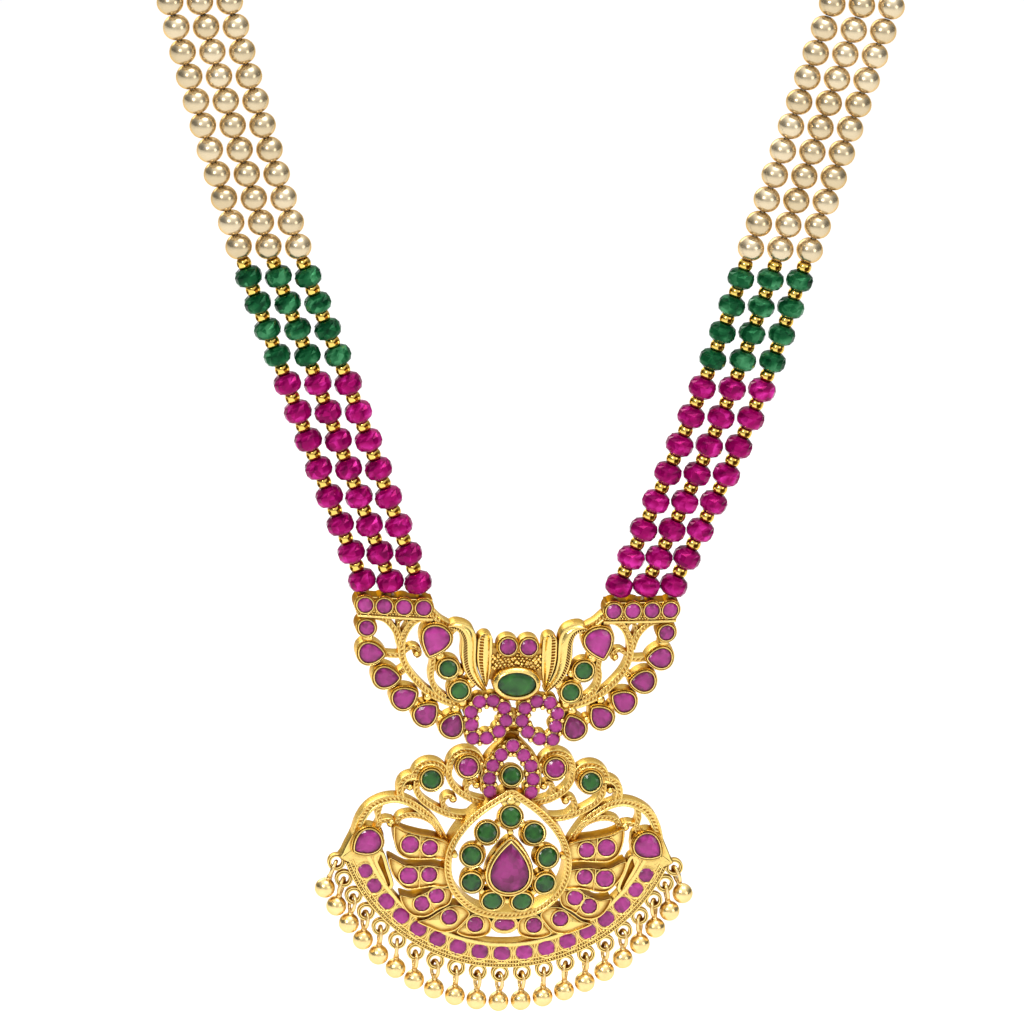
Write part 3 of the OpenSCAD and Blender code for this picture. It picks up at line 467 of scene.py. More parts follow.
# Petals: two long fluted leaves on each side of the oval stone, of one casting with the lace.
# Each is a raised blade with a hatched strip between smooth ridges, its point turned over.
# Edges run from the foot to the tip: the edge towards the middle, then the outer one.
OUTER_PETAL = (
    [(4.4, 6.5), (5.3, 8.1), (6, 9.8), (6.3, 11.5), (6.3, 13.3), (6.4, 15), (7.1, 16.4), (8.4, 17.1),
     (9.8, 17.2), (10.8, 16.6)],
    [(5.2, 6.4), (7.1, 8), (8.2, 9.9), (8.6, 11.9), (8.6, 13.6), (8.8, 14.9), (9.3, 15.6), (9.9, 15.9),
     (10.4, 16), (10.9, 16.1)])
INNER_PETAL = (
    [(4.4, 7), (4, 8.8), (3.8, 11), (3.8, 13), (3.85, 14.6), (4.3, 15.3), (4.8, 15.5)],
    [(4.7, 7.1), (5.3, 8.3), (5.9, 9.9), (6.2, 11.6), (6.2, 13.5), (6.1, 14.7), (5.6, 15.3), (5.1, 15.5)])
# Columns across a petal: share of the way from the middle edge to the outer one, height, shade.
PETAL_ACROSS = [(0.0, -2.75, 0.3), (0.0, 0.2, 0.6), (0.04, 0.36, 0.9), (0.12, 0.42, 1.0), (0.2, 0.4, 0.9),
                (0.25, 0.5, 0.9), (0.36, 0.72, 1.0), (0.48, 0.78, 1.0), (0.6, 0.68, 0.9), (0.64, 0.52, 0.25),
                (0.7, 0.46, 0.35), (0.78, 0.42, 0.35), (0.83, 0.42, 0.3), (0.87, 0.5, 0.9), (0.93, 0.48, 1.0),
                (0.98, 0.36, 0.9), (1.0, 0.2, 0.6), (1.0, -2.75, 0.3)]
HATCH_PITCH, HATCH_HIGH, HATCH_ROWS = 0.45, 0.16, 4
HATCH_MIDDLE, HATCH_REACH, HATCH_START, HATCH_PAINTED_SHADE = 0.735, 0.1, 0.6, 0.9


def petal(inner_edge, outer_edge):
    """Blade between two edges: a point is edge + share x (other edge - edge), at the height across, and
    the hatched strip beside the outer rim rises and falls as a sine of the distance along, its shade
    rising and falling with it as painted light and shade."""
    a, b = smooth(inner_edge), smooth(outer_edge)
    rows = int(lengths(a)[-1] / HATCH_PITCH) * HATCH_ROWS
    a, b = even(a, rows), even(b, rows)
    across = np.array(PETAL_ACROSS)
    flat = a[:, None] + across[None, :, :1] * (b - a)[:, None]
    rest = np.repeat(across[None, :, 1:], rows, 0)
    hatched = np.abs(across[:, 0] - HATCH_MIDDLE) < HATCH_REACH
    wave = np.sin(2 * math.pi * np.arange(rows) / HATCH_ROWS + HATCH_START)
    rest[:, hatched, 0] += HATCH_HIGH * wave[:, None]
    rest[:, hatched, 1] += HATCH_PAINTED_SHADE * wave[:, None]
    return loft(np.concatenate([flat, rest], 2))


petals = both_sides(petal(*OUTER_PETAL), petal(*INNER_PETAL))
make_piece("crescent_petals", on_crescent(petals), cast_gold, "necklace", "gold", "crescent_plate")


# Bar: the gold strip on each side that the three strings hang from, with four cups soldered on
# in a row, two lines of granulation under them, a plain rail, and a fifth cup below its end.
BAR_LINE, BAR_HALF, BAR_DEEP, BAR_STEPS = [(13.35, 19.1), (24.75, 19.1)], 1.45, -3.3, 30
RAIL_LINE, RAIL_HALF = [(13.2, 17.45), (24.6, 17.45)], 0.26
GRAIN_LINES = [[(13.5, 17.9), (24.2, 17.9)], [(13.7, 18.25), (24.0, 18.25)]]
BAR_GRAIN = (0.42, 0.2, 0.22)  # pitch, radius and height
# Columns: side as a share of the half width, height, shade.
# The top wall's shade of -1 is painted shade and a painted reflection of the beads above it.
BAR_PROFILE = [(-1, BAR_DEEP, 0.1), (-1, 0, 0.5), (-0.96, 0.14, 1), (-0.88, 0.14, 1), (-0.82, -0.05, 0.2),
               (0.82, -0.05, 0.2), (0.88, 0.2, 1), (0.96, 0.2, 1), (1, 0.1, 0.3), (1, -0.3, -1),
               (1, BAR_DEEP, -1)]
RAIL_PROFILE = [(-1, -2.8, 0.2), (-1, 0.3, 0.6), (-0.6, 0.55, 1), (0, 0.62, 1), (0.6, 0.55, 1),
                (1, 0.3, 0.6), (1, -2.8, 0.2)]
BAR_STONES = [(14.7, 19.2), (17.7, 19.2), (20.7, 19.2), (23.6, 19.2), (23.2, 15.6)]
BAR_STONE_D, BAR_WALL, CUP_WALL_PAINTED_SHADE = 2.3, 0.52, -0.8
STONE_RISE = 0.6  # of most of the crescent's stones over its front
# Columns of a cup above its foot: growth from the stone's outline as a share of the wall, height, shade.
# Groove and inner walls have low shades: painted shade.
CUP = [(1, -0.65, 0.6), (0.97, -0.34, 1), (0.86, -0.24, 1), (0.7, -0.28, 0.95), (0.62, -0.55, 0.05),
       (0.52, -0.55, 0.05), (0.48, -0.12, 0.85), (0.38, 0.02, 1), (0.16, 0.04, 1), (0.05, -0.04, 0.8),
       (0.03, -0.5, 0.2), (0.03, -1.35, 0.05)]


def cup(outline, wall, deep, lift):
    """Cup round a stone: an outer ring, a groove and the thin bezel itself, with the stone's seat."""
    return pile(outline, [(wall, deep, 0.4)] + [(w * wall, h + lift, s) for w, h, s in CUP])


def round_cups(places, d, wall, deep, lift):
    """Cups round stones of one size."""
    return [cup(ring_of(x, z, d / 2, 32), wall, deep, lift) for x, z in places]


cup_points, cup_faces = join(round_cups(BAR_STONES, BAR_STONE_D, BAR_WALL, BAR_DEEP, STONE_RISE))
# The bar cups' walls below the front get the same painted shade and reflection.
cup_points[cup_points[:, 2] < 0, 3] = CUP_WALL_PAINTED_SHADE
bar = [strip(even(BAR_LINE, BAR_STEPS), BAR_PROFILE, BAR_HALF),
       strip(even(RAIL_LINE, BAR_STEPS), RAIL_PROFILE, RAIL_HALF)]
bar += [grains(even(line, BAR_STEPS), *BAR_GRAIN) for line in GRAIN_LINES]
make_piece("crescent_bar", on_crescent(both_sides(*bar, (cup_points, cup_faces))), cast_gold,
           "necklace", "gold", "crescent_plate")


# Crescent cups: bezels of sheet gold round the pears of the lower edge, the large pears, the
# four greens and the two top rubies, each a thin bright rim inside an outer ring, soldered on.
# Pear columns: x, height and the turn of the tip.
EDGE_PEARS = [(22.3, 11.6, 180), (19.8, 7.9, 180), (16.9, 4.8, 150), (13.5, 2.4, 135), (9.4, 0.75, 115)]
EDGE_PEAR, EDGE_WALL = (3.6, 3.4, 0.6), 0.58
LARGE_PEARS = [(12.7, 14, -72)]
LARGE_PEAR, LARGE_WALL = (4.7, 4.6, 0.9), 0.62
CRESCENT_GREENS = [(10.5, 9.75), (8.6, 6.3)]
CRESCENT_GREEN_D, GREEN_WALL, GREEN_DEEP = 2.6, 0.68, -2.2
TOP_RUBIES = [(1.6, 13.8)]
TOP_RUBY_D, TOP_WALL, TOP_DEEP = 2.5, 0.5, -1.1
OVAL_GREEN = (0, 7.9, 5.9, 3.8)
OVAL_RISE, TOP_RISE = 2.2, 1.7
PEAR_FILL = 0.12


def oval(x, z, w, h, n=40):
    """Ellipse of n points, anticlockwise."""
    a = turns(n)
    return np.stack([x + w / 2 * np.cos(a), z + h / 2 * np.sin(a)], 1)


def pear(x, z, turn, w, h, blunt, n=40):
    """Pear outline: an ellipse whose height is damped by |sin(a/2)|^blunt towards the tip at a = 0 and
    filled out by 0.12 x blunt, then turned about its middle."""
    a, t = turns(n), math.radians(turn)
    along = w / 2 * np.cos(a)
    across = h / 2 * np.sin(a) * np.abs(np.sin(a / 2))**blunt * (1 + PEAR_FILL * blunt)
    return np.stack([x + along * math.cos(t) - across * math.sin(t),
                     z + along * math.sin(t) + across * math.cos(t)], 1)


cups = [cup(pear(*place, *EDGE_PEAR), EDGE_WALL, CRESCENT_DEEP, STONE_RISE) for place in EDGE_PEARS]
cups += [cup(pear(*place, *LARGE_PEAR), LARGE_WALL, CRESCENT_DEEP, STONE_RISE) for place in LARGE_PEARS]
cups += round_cups(CRESCENT_GREENS, CRESCENT_GREEN_D, GREEN_WALL, GREEN_DEEP, STONE_RISE)
cups += round_cups(TOP_RUBIES, TOP_RUBY_D, TOP_WALL, TOP_DEEP, TOP_RISE)
make_piece("crescent_cups", on_crescent(both_sides(*cups)), cast_gold, "necklace", "gold", "crescent_plate")


# Oval collar: the oval stone's own bezel, a broad plain collar of gold, rolled outwards and
# soldered on. Columns: growth from the stone's outline, height, shade.
OVAL_COLLAR = [(0.78, -1.6, 0.15), (0.8, 1.2, 0.4), (0.78, 1.62, 0.7), (0.66, 1.86, 0.75), (0.42, 2.08, 0.75),
               (0.2, 2.2, 0.8), (0.06, 2.15, 0.8), (0.04, 1.7, 0.3), (0.04, 0.9, 0.05)]
make_piece("oval_collar", on_crescent(pile(oval(*OVAL_GREEN), OVAL_COLLAR)), cast_gold,
           "necklace", "gold", "crescent_plate")


# Granulation: the heap of tiny gold grains between the petals, soldered on a low mound, over a
# sunk ground plate behind the oval.
GROUND = [(-4.25, 8.0), (4.25, 8.0), (4.25, 13.2), (-4.25, 13.2)]
GROUND_STEPS = [(0, CRESCENT_DEEP, 0.35), (0, -0.25, 0.3), (-0.15, 0.0, 0.4)]
MOUND, MOUND_STEPS = (0, 10.6, 7.6, 3.6), [(0, -0.5, 0.3), (0, 0, 0.4), (-0.5, 0.3, 0.5), (-1.1, 0.5, 0.5)]
HEAP_ROWS, HEAP_HALF, HEAP_PITCH, HEAP_ROW_STEP, HEAP_SAG = 6, 9, 0.56, 0.42, 0.055
HEAP_LOW, HEAP_CROWN, HEAP_WIDE, HEAP_BOTTOM, HEAP_TOP = 9.6, 0.9, 3.9, 8.6, 12.9
HEAP_NUDGE, HEAP_R = 0.1, (0.24, 0.38)
HEAP_LIFT, HEAP_PEAK_RISE, HEAP_PEAK, HEAP_SPREAD = 0.25, 0.5, 10.9, 3.0
rng = np.random.default_rng(7)


def heap():
    """Rows of grains half a pitch apart, along z = low + row x step + crown - sag x^2, each nudged and
    sized by a seeded draw. A grain's lift is 0.25 + 0.5 exp(-(z - peak)^2) exp(-(x / spread)^2)."""
    row, step = np.meshgrid(np.arange(HEAP_ROWS), np.arange(-HEAP_HALF, HEAP_HALF + 1), indexing="ij")
    x = (step + 0.5 * (row % 2)) * HEAP_PITCH
    z = HEAP_LOW + row * HEAP_ROW_STEP + HEAP_CROWN - HEAP_SAG * x**2
    kept = (np.abs(x) < HEAP_WIDE) & (z < HEAP_TOP) & (z > HEAP_BOTTOM)
    x = x[kept] + rng.uniform(-HEAP_NUDGE, HEAP_NUDGE, kept.sum())
    z = z[kept] + rng.uniform(-HEAP_NUDGE, HEAP_NUDGE, kept.sum())
    r = rng.uniform(*HEAP_R, kept.sum())
    lift = HEAP_LIFT + HEAP_PEAK_RISE * np.exp(-(z - HEAP_PEAK)**2) * np.exp(-(x / HEAP_SPREAD)**2)
    return join(scatter(dome(size), np.array([[px, pz]]), up) for px, pz, size, up in zip(x, z, r, lift))


ground, mound = pile(np.array(GROUND), GROUND_STEPS), pile(oval(*MOUND), MOUND_STEPS)
make_piece("granulation", on_crescent(join([ground, mound, heap()])), cast_gold,
           "necklace", "gold", "crescent_plate")


# Pave loops: two open rings of small rubies under the oval, cast in gold, each stone on its own
# scallop of the ring, held by round prongs at both sides of every joint between stones.
LOOP_PAVE = [(1.6, 3.75), (3.4, 4.85), (5.45, 4.65), (6.7, 2.95), (6.5, 0.9), (6.2, -1.2), (4.1, -1.1),
             (2.2, 0), (1.25, 1.75)]
LOOP_DEEP, LOOP_RISE = -2.4, 0.6
PAVE_D, PAVE_BAR_HALF = 2.1, 0.8
PRONG_R, PRONG_SIDE, PRONG_RISE = 0.39, 0.88, 0.05
BACK_STEP = 0.02  # between backs that would coincide
# Columns of a scallop above its foot: growth from the stone's outline, height, shade.
SCALLOP_FOOT, SCALLOP = 0.12, [(0.14, -0.3, 0.4), (0.05, -0.12, 0.8), (-0.1, -0.1, 0.5), (-0.4, -0.25, 0.1)]


def raised(steps, lift):
    """Steps of a pile, all lifted alike."""
    return [(d, h + lift, s) for d, h, s in steps]


def pave_gold(stones, deep, lift, closed):
    """Scallops under the stones, a bar that joins them, and prongs left and right of each joint."""
    line = np.array(stones, float)
    shapes = [pile(ring_of(x, z, PAVE_D / 2, 24),
                   [(SCALLOP_FOOT, deep + BACK_STEP * (k % 3), 0.35)] + raised(SCALLOP, lift))
              for k, (x, z) in enumerate(stones)]
    joining = [(-1, deep + 0.1, 0.3), (-1, -0.3, 0.3), (1, -0.3, 0.3), (1, deep + 0.1, 0.3)]
    shapes.append(strip(smooth(line, closed=closed), joining, PAVE_BAR_HALF, closed))
    following = np.roll(line, -1, 0) if closed else line[1:]
    here = line[:len(following)]
    out_of_line = PRONG_SIDE * left_of(following - here)
    prong = dome(PRONG_R, n=10, sunk=2.0)
    shapes += [scatter(prong, (here + following) / 2 + side * out_of_line, lift + PRONG_RISE)
               for side in (-1, 1)]
    return join(shapes)


crossing = [bulb(0, 1.3, 0.45, LOOP_DEEP, 0.5),
            pile(ring_of(0, 2.4, 0.75, 16), [(0, LOOP_DEEP, 0.1), (0, 0, 0.4), (-0.3, 0.2, 0.5)])]
loops = both_sides(pave_gold(LOOP_PAVE, LOOP_DEEP, LOOP_RISE, True))
make_piece("pave_loops", on_crescent(join([loops, *crossing])), cast_gold,
           "necklace", "gold", "crescent_plate")


# Crescent stones: flat-topped foiled stones cut with a table, eight stars, eight kites and a
# girdle, and set in their cups or between prongs. The rubies are a soft pink magenta and the
# greens a clear mid green.
STONE_DEPTH, STONE_PROUD, STONE_TONES, CROWN_SHARE = 1.2, 0.15, (0.3, 0.75), 0.22
GIRDLE_PAINTED_SHADE, TABLE_PAINTED_LIGHT = 0.8, 0.2


def gem(outline_of, tone, table_h, depth):
    """Cut stone over an outline function of n points: table at 0.62 of its width, mid facets turned by
    half a step at 0.85, the girdle, and a flat back at 0.6. Each corner's shade is the stone's tone with
    a seeded change; the girdle's is darker, painted shade at the stone's edge, and the table's middle
    lighter, painted light."""
    girdle = outline_of(16)
    middle = girdle.mean(0)
    inner, odd = girdle[::2], girdle[1::2]
    crown = CROWN_SHARE * depth
    # Columns: ring, height, and how far the draws spread its shades.
    rings = [(middle + 0.62 * (inner - middle), table_h, 0.35),
             (middle + 0.85 * (odd - middle), table_h - 0.4 * crown, 0.5),
             (girdle, table_h - crown, 0.25), (middle + 0.6 * (girdle - middle), table_h - depth, 0)]
    points = np.vstack(
        [level(ring, h, tone + spread * rng.uniform(-1, 1, len(ring))) for ring, h, spread in rings] +
        [[*middle, table_h, tone + TABLE_PAINTED_LIGHT], [*middle, table_h - depth, 0]])
    g, b, table_middle, back_middle = 16, 32, 48, 49
    points[g:b, 3] -= GIRDLE_PAINTED_SHADE
    i, k = np.arange(8), np.arange(16)
    after, before, k_after = (i + 1) % 8, (i - 1) % 8, (k + 1) % 16
    none = np.full(8, -1)
    stars = np.stack([i, after, 8 + i, none], 1)
    kites = np.stack([i, 8 + i, g + 2 * i, 8 + before], 1)
    upper_left = np.stack([8 + i, g + (2 * i + 1) % 16, g + 2 * i, none], 1)
    upper_right = np.stack([8 + i, g + (2 * i + 2) % 16, g + (2 * i + 1) % 16, none], 1)
    table = np.stack([np.full(8, table_middle), after, i, none], 1)
    skirt = np.stack([g + k, g + k_after, b + k_after, b + k], 1)
    back = np.stack([np.full(16, back_middle), b + k, b + k_after, np.full(16, -1)], 1)
    return points, np.vstack([stars, kites, upper_left, upper_right, table, skirt, back])


def gem_material(name, colour, dark, roughness):
    """Foiled stone: two tones, mixed by each corner's shade and by angular cells that paint in
    reflections of its facets and foil."""
    material = new_material(name)
    painted_reflections = new_node(material, "TexVoronoi", {"Vector": place_of(material), "Scale": 950.0})
    blend = blended(material, painted_reflections.outputs["Color"], 0.45, shade_of(material), 0.05, 1.35)
    return surfaced(material, {"Base Color": two_tones(material, blend, dark, colour), "Roughness": roughness,
                               "IOR": 1.6, "Specular IOR Level": 0.35})


foiled_ruby = gem_material("foiled_ruby", (0.43, 0.03, 0.26), (0.11, 0.001, 0.05), 0.16)
foiled_green = gem_material("foiled_green", (0.024, 0.15, 0.016), (0.001, 0.025, 0.002), 0.13)


def round_gem(x, z, d, lift):
    """Round stone with its own tone drawn by the seeded generator."""
    return gem(lambda n: ring_of(x, z, d / 2, n), rng.uniform(*STONE_TONES), lift + STONE_PROUD, STONE_DEPTH)


def round_gems(places, d, lift):
    """Round stones of one size."""
    return join(round_gem(x, z, d, lift) for x, z in places)


def pear_gems(places, shape, lift, tones):
    """Pear stones of one size, turned as their places say; tones are the lowest and highest that may
    be drawn."""
    return join(gem(lambda n, p=p: pear(*p, *shape, n=n), rng.uniform(*tones), lift + STONE_PROUD,
                    STONE_DEPTH) for p in places)


# Columns: name, stones, material, slot and the CAD node that they stand for.
for name, stones, foil, slot, *nodes in [
        ("cut_bar_rubies", both_sides(round_gems(BAR_STONES, BAR_STONE_D, STONE_RISE)),
         foiled_ruby, "ruby", "bar_rubies"),
        ("cut_edge_pears", both_sides(pear_gems(EDGE_PEARS, EDGE_PEAR, STONE_RISE, (0.1, 0.5))),
         foiled_ruby, "ruby", "edge_pears"),
        ("cut_large_pears", both_sides(pear_gems(LARGE_PEARS, LARGE_PEAR, STONE_RISE, (0.8, 0.95))),
         foiled_ruby, "ruby", "large_pears"),
        ("cut_top_rubies", both_sides(round_gems(TOP_RUBIES, TOP_RUBY_D, TOP_RISE)),
         foiled_ruby, "ruby", "top_rubies"),
        ("cut_crescent_greens", both_sides(round_gems(CRESCENT_GREENS, CRESCENT_GREEN_D, STONE_RISE)),
         foiled_green, "green", "crescent_greens"),
        ("cut_oval_green", gem(lambda n: oval(*OVAL_GREEN, n=n), 0.5, OVAL_RISE - 0.05, STONE_DEPTH),
         foiled_green, "green", "oval_green"),
        ("pave_rubies", both_sides(round_gems(LOOP_PAVE, PAVE_D, LOOP_RISE + 0.02)), foiled_ruby, "ruby")]:
    make_piece(name, on_crescent(stones), foil, "necklace", slot, *nodes, crease=0)


# Link: the fan hangs by a ring from a thin bar behind the loops, between two lugs. Lugs and
# bar are of one casting with the crescent, and the ring with the fan.
PIN_Y, PIN_HEIGHT, PIN_R, PIN_PAST_LUG, BARREL_EASE = 2.0, 0.3, 0.55, 0.45, 0.1
RING_R, RING_W, LUG_GAP, LUG_W, LUG_R, LUG_HALF, BLOCK_EASE = 1.35, 2.6, 0.3, 0.9, 1.2, 0.9, 0.12


def barrel(x_from, x_to, r):
    """Round bar along x with eased ends, at the link's axis."""
    stations = [(x_from, r - BARREL_EASE), (x_from + BARREL_EASE, r), (x_to - BARREL_EASE, r),
                (x_to, r - BARREL_EASE)]
    return loft([level(ring_of(PIN_Y, PIN_HEIGHT - HANG, size, 24), x, 0.7)[:, [2, 0, 1, 3]]
                 for x, size in stations])


def block(low, high):
    """Box with eased front and back: four rings of its outline in x and z along y."""
    (x0, y0, z0), (x1, y1, z1) = low, high
    corners = np.array([(x0, z0), (x1, z0), (x1, z1), (x0, z1)], float)
    corners = np.concatenate([even([a, b], 4)[:-1] for a, b in zip(corners, np.roll(corners, -1, 0))])
    outwards = np.sign(corners - corners.mean(0))
    rings = [(y0, -BLOCK_EASE), (y0 + BLOCK_EASE, 0), (y1 - BLOCK_EASE, 0), (y1, -BLOCK_EASE)]
    return loft([level(corners + d * outwards - [0, HANG], y, 0.5)[:, [0, 2, 1, 3]] for y, d in rings])


lug_inner = RING_W / 2 + LUG_GAP
lug = [barrel(lug_inner, lug_inner + LUG_W, LUG_R),
       block((lug_inner, -0.4, PIN_HEIGHT - LUG_HALF), (lug_inner + LUG_W, PIN_Y, PIN_HEIGHT + LUG_HALF))]
pin = barrel(-lug_inner - PIN_PAST_LUG, lug_inner + PIN_PAST_LUG, PIN_R)
make_piece("link_lugs", join([both_sides(*lug), pin]), cast_gold, "necklace", "gold", "crescent_plate")


# Fan scrolls: the upper half of the fan, gold vines like the crescent's that curl round the
# cups, with tall smooth walls. The fan, with the ring that it hangs by, is one casting.
FAN_FRONT, FAN_DEEP = -1.4, -3.2
FAN_VINES = [
    ([(9.5, -5.6), (9.5, -7.6), (8.7, -9.2), (7.3, -10.4), (5.6, -11.2), (3.4, -11.7)], 1.05),
    ([(6, -11), (6.7, -10), (6.6, -8.9), (5.9, -8.4), (5.2, -8.8)], 0.75),
    ([(14.4, -8.4), (14.4, -9.9), (13.5, -11.3), (12, -12.4), (10.2, -13.3), (8.2, -13.9), (6.2, -13.9),
      (4.6, -13)], 1.05),
    ([(9.3, -13.4), (10.2, -12.3), (10.1, -11.2), (9.3, -10.7), (8.6, -11.1)], 0.75),
    ([(14, -7.8), (15.3, -7.7), (16.5, -8.3), (17, -9.6), (16.8, -11.2)], 1.1),
    ([(16.4, -11), (16.7, -10.2), (16.2, -9.4), (15.4, -9.3)], 0.65),
    ([(23.6, -18), (22.9, -15), (21.6, -12.9), (19.7, -11.7), (17.6, -11.3), (15.6, -11.8), (13.6, -13),
      (11.8, -14.6), (10.5, -16.4), (9.4, -18.4)], 1.5, 1.05),
    ([(19.8, -12), (20.2, -13.6), (19.9, -15), (20.4, -16.2)], 0.85, 0.95),
    ([(20, -15), (19.2, -14.8), (18.5, -14.7), (17.9, -15.1)], 0.75),
    ([(10.2, -16.8), (11.5, -15.1), (13.2, -14.1), (15.1, -13.8), (16.7, -14.2), (17.3, -15.3)], 0.95),
]
FAN_BULBS = [(5.2, -8.9, 0.6), (8.7, -11.2, 0.6), (15.5, -9.4, 0.55), (18.1, -15.2, 0.7), (4.6, -6, 0.9)]
# Lobes curl over the upper cups. Columns: x, height and radius of the curl's middle line, and how
# far its back stands over the fan's.
LOBES = [(7, -6, 2.5, 0.3), (12.4, -7.9, 2.5, 0.33)]
LOBE_W, LOBE_FROM, LOBE_TO = 1.15, -10, 170


def on_fan(shape):
    """Relief laid on the fan's flat front."""
    points, faces = shape
    x, z, h, shade = points.T
    return np.stack([x, FAN_FRONT - h, z - HANG, shade], 1), faces


# Each vine's back is a little higher than the one before it, so that no two faces coincide.
scrolls = [vine(points, FAN_DEEP + 0.05 + BACK_STEP * k, *widths)
           for k, (points, *widths) in enumerate(FAN_VINES)]
scrolls += [bulb(x, z, r, FAN_DEEP + BACK_STEP) for x, z, r in FAN_BULBS]
lobe_turns = np.radians(np.linspace(LOBE_FROM, LOBE_TO, 10))
for x, z, r, back in LOBES:
    curl = np.stack([x + r * np.cos(lobe_turns), z + r * np.sin(lobe_turns)], 1)
    scrolls.append(vine(curl, FAN_DEEP + back, LOBE_W))
make_piece("fan_scrolls", on_fan(both_sides(*scrolls)), cast_gold, "pendant", "gold", "fan_pendant")

link_ring = [barrel(-RING_W / 2, RING_W / 2, RING_R),
             block((-RING_W / 2, 0.8, -3.2), (RING_W / 2, 2.8, -0.6))]
make_piece("fan_ring", join(link_ring), cast_gold, "pendant", "gold", "fan_pendant")


# Band: the fan's lower border in gold, a channel with a collar for a stone in each compartment,
# low bars between them, and outside it three thin rails with two rows of milgrain.
BAND_MIDDLE = np.array([0, -10.9])
BAND_R, BAND_REACH, SQUEEZE_POWER = 25.1, 67, 6
BAND_STONES, BAND_STEP, BAND_SQUEEZE, BAND_STONE_R = 17, 8.0, 2.65, 24.8
BAND_STONE_D, BAND_END_D = 2.75, 2.45
# Columns: distance outwards from the band's middle line, height, shade.
BAND_PROFILE = [
    (2.05, FAN_DEEP, 0.15), (2.05, -0.2, 0.6), (1.98, -0.02, 1), (1.82, 0, 1), (1.74, -0.2, 0.15),
    (1.5, -0.24, 0.1), (1.42, 0.02, 1), (1.26, 0.02, 1), (1.18, -0.2, 0.15), (0.96, -0.24, 0.1),
    (0.88, 0.04, 1), (0.72, 0.06, 1), (0.6, -0.06, 0.7), (0.3, -0.08, 0.85), (-1.3, -0.08, 0.85),
    (-1.5, 0.08, 1), (-1.75, 0.16, 1), (-1.98, 0.1, 1), (-2.05, -0.1, 0.6), (-2.05, FAN_DEEP, 0.15)]
MILGRAIN_LINES, MILGRAIN = [BAND_R + 1.62, BAND_R + 1.07], (0.44, 0.2, -0.14)
# Columns of a stone's collar: growth from its outline, height, shade.
COLLAR = [(0.36, -0.5, 0.1), (0.32, -0.12, 0.5), (0.24, 0.04, 1), (0.08, 0.06, 1), (0.02, 0, 0.8),
          (0.01, -0.4, 0.2), (0.01, -1.3, 0.05)]
# Columns of a low bar between stones: side as a share of its half width, height, shade.
DIVIDER = [(-1, -0.6, 0.3), (-0.9, -0.1, 0.7), (-0.4, 0.1, 1), (0.4, 0.1, 1), (0.9, -0.1, 0.7),
           (1, -0.6, 0.3)]
DIVIDER_REACH, DIVIDER_HALF = (23.5, 25.9), 0.2
NUB_R, NUB_OUT, NUB_TURN, NUB_H = 0.24, 0.2, 2.2, -0.06


def at_turn(r, turn):
    """Point of the band's circle of radius r at a turn in degrees from straight down: middle +
    r (sin a, -cos a)."""
    a = np.radians(turn)
    return BAND_MIDDLE + r * np.stack([np.sin(a), -np.cos(a)], -1)


def band_arc(r, reach, count):
    """Arc below the band's middle from -reach to +reach degrees."""
    return at_turn(r, np.linspace(-reach, reach, count))


def spread_turns(count, step, squeeze):
    """Turns along the band: equal steps at the middle, and at both ends less by squeeze x (share of the
    way to the end)^6."""
    k = np.arange(count) - (count - 1) / 2
    return k * step - np.sign(k) * squeeze * (2 * np.abs(k) / (count - 1))**SQUEEZE_POWER


band_turns = spread_turns(BAND_STONES, BAND_STEP, BAND_SQUEEZE)
band_sizes = np.full(BAND_STONES, BAND_STONE_D)
band_sizes[[0, 1, -2, -1]] = BAND_END_D
band_profile = [(-out, h, shade) for out, h, shade in BAND_PROFILE]
band = [strip(band_arc(BAND_R, BAND_REACH, 180), band_profile, 1.0)]
band += [grains(band_arc(r, BAND_REACH - 1, 200), *MILGRAIN) for r in MILGRAIN_LINES]
for turn, size in zip(band_turns, band_sizes):
    band.append(pile(ring_of(*at_turn(BAND_STONE_R, turn), size / 2, 32), COLLAR))
    nubs = at_turn(BAND_STONE_R + size / 2 + NUB_OUT, turn + np.array([-NUB_TURN, NUB_TURN]))
    band.append(scatter(dome(NUB_R, n=7, shade=1.0), nubs, NUB_H))
for turn in (band_turns[:-1] + band_turns[1:]) / 2:
    band.append(strip(even([at_turn(r, turn) for r in DIVIDER_REACH], 6), DIVIDER, DIVIDER_HALF))
make_piece("fan_band", on_fan(join(band)), cast_gold, "pendant", "gold", "fan_pendant")


# Eyelets: cast rings with a groove round them, standing on the band's edge, one for each drop.
# They are of one casting with the band.
EYELET_COUNT, EYELET_STEP, EYELET_SQUEEZE, EYELET_CIRCLE = 21, 6.95, 2.1, 28.35
EYELET_Y, EYELET_T, EYELET_R, EYELET_HOLE = 0.2, 1.2, 1.4, 0.8
eyelet_turns = spread_turns(EYELET_COUNT, EYELET_STEP, EYELET_SQUEEZE)
EYELET_SIDE = (EYELET_R - EYELET_HOLE) / 2
EYELET_TOP = FAN_FRONT - (EYELET_Y - EYELET_T / 2)
EYELET_PROFILE = [(-1, EYELET_TOP - 1.05, 0.3), (-1, EYELET_TOP - 0.15, 0.5), (-0.75, EYELET_TOP, 1),
                  (-0.25, EYELET_TOP, 0.9), (0, EYELET_TOP - 0.16, 0.15), (0.25, EYELET_TOP, 0.9),
                  (0.75, EYELET_TOP, 1), (1, EYELET_TOP - 0.15, 0.5), (1, EYELET_TOP - 1.05, 0.3),
                  (0.7, EYELET_TOP - 1.2, 0.3), (-0.7, EYELET_TOP - 1.2, 0.3)]
eyelets = [strip(ring_of(*at_turn(EYELET_CIRCLE, turn), (EYELET_R + EYELET_HOLE) / 2, 28), EYELET_PROFILE,
                 EYELET_SIDE, closed=True) for turn in eyelet_turns]
make_piece("fan_eyelets", on_fan(join(eyelets)), cast_gold, "pendant", "gold", "fan_pendant")
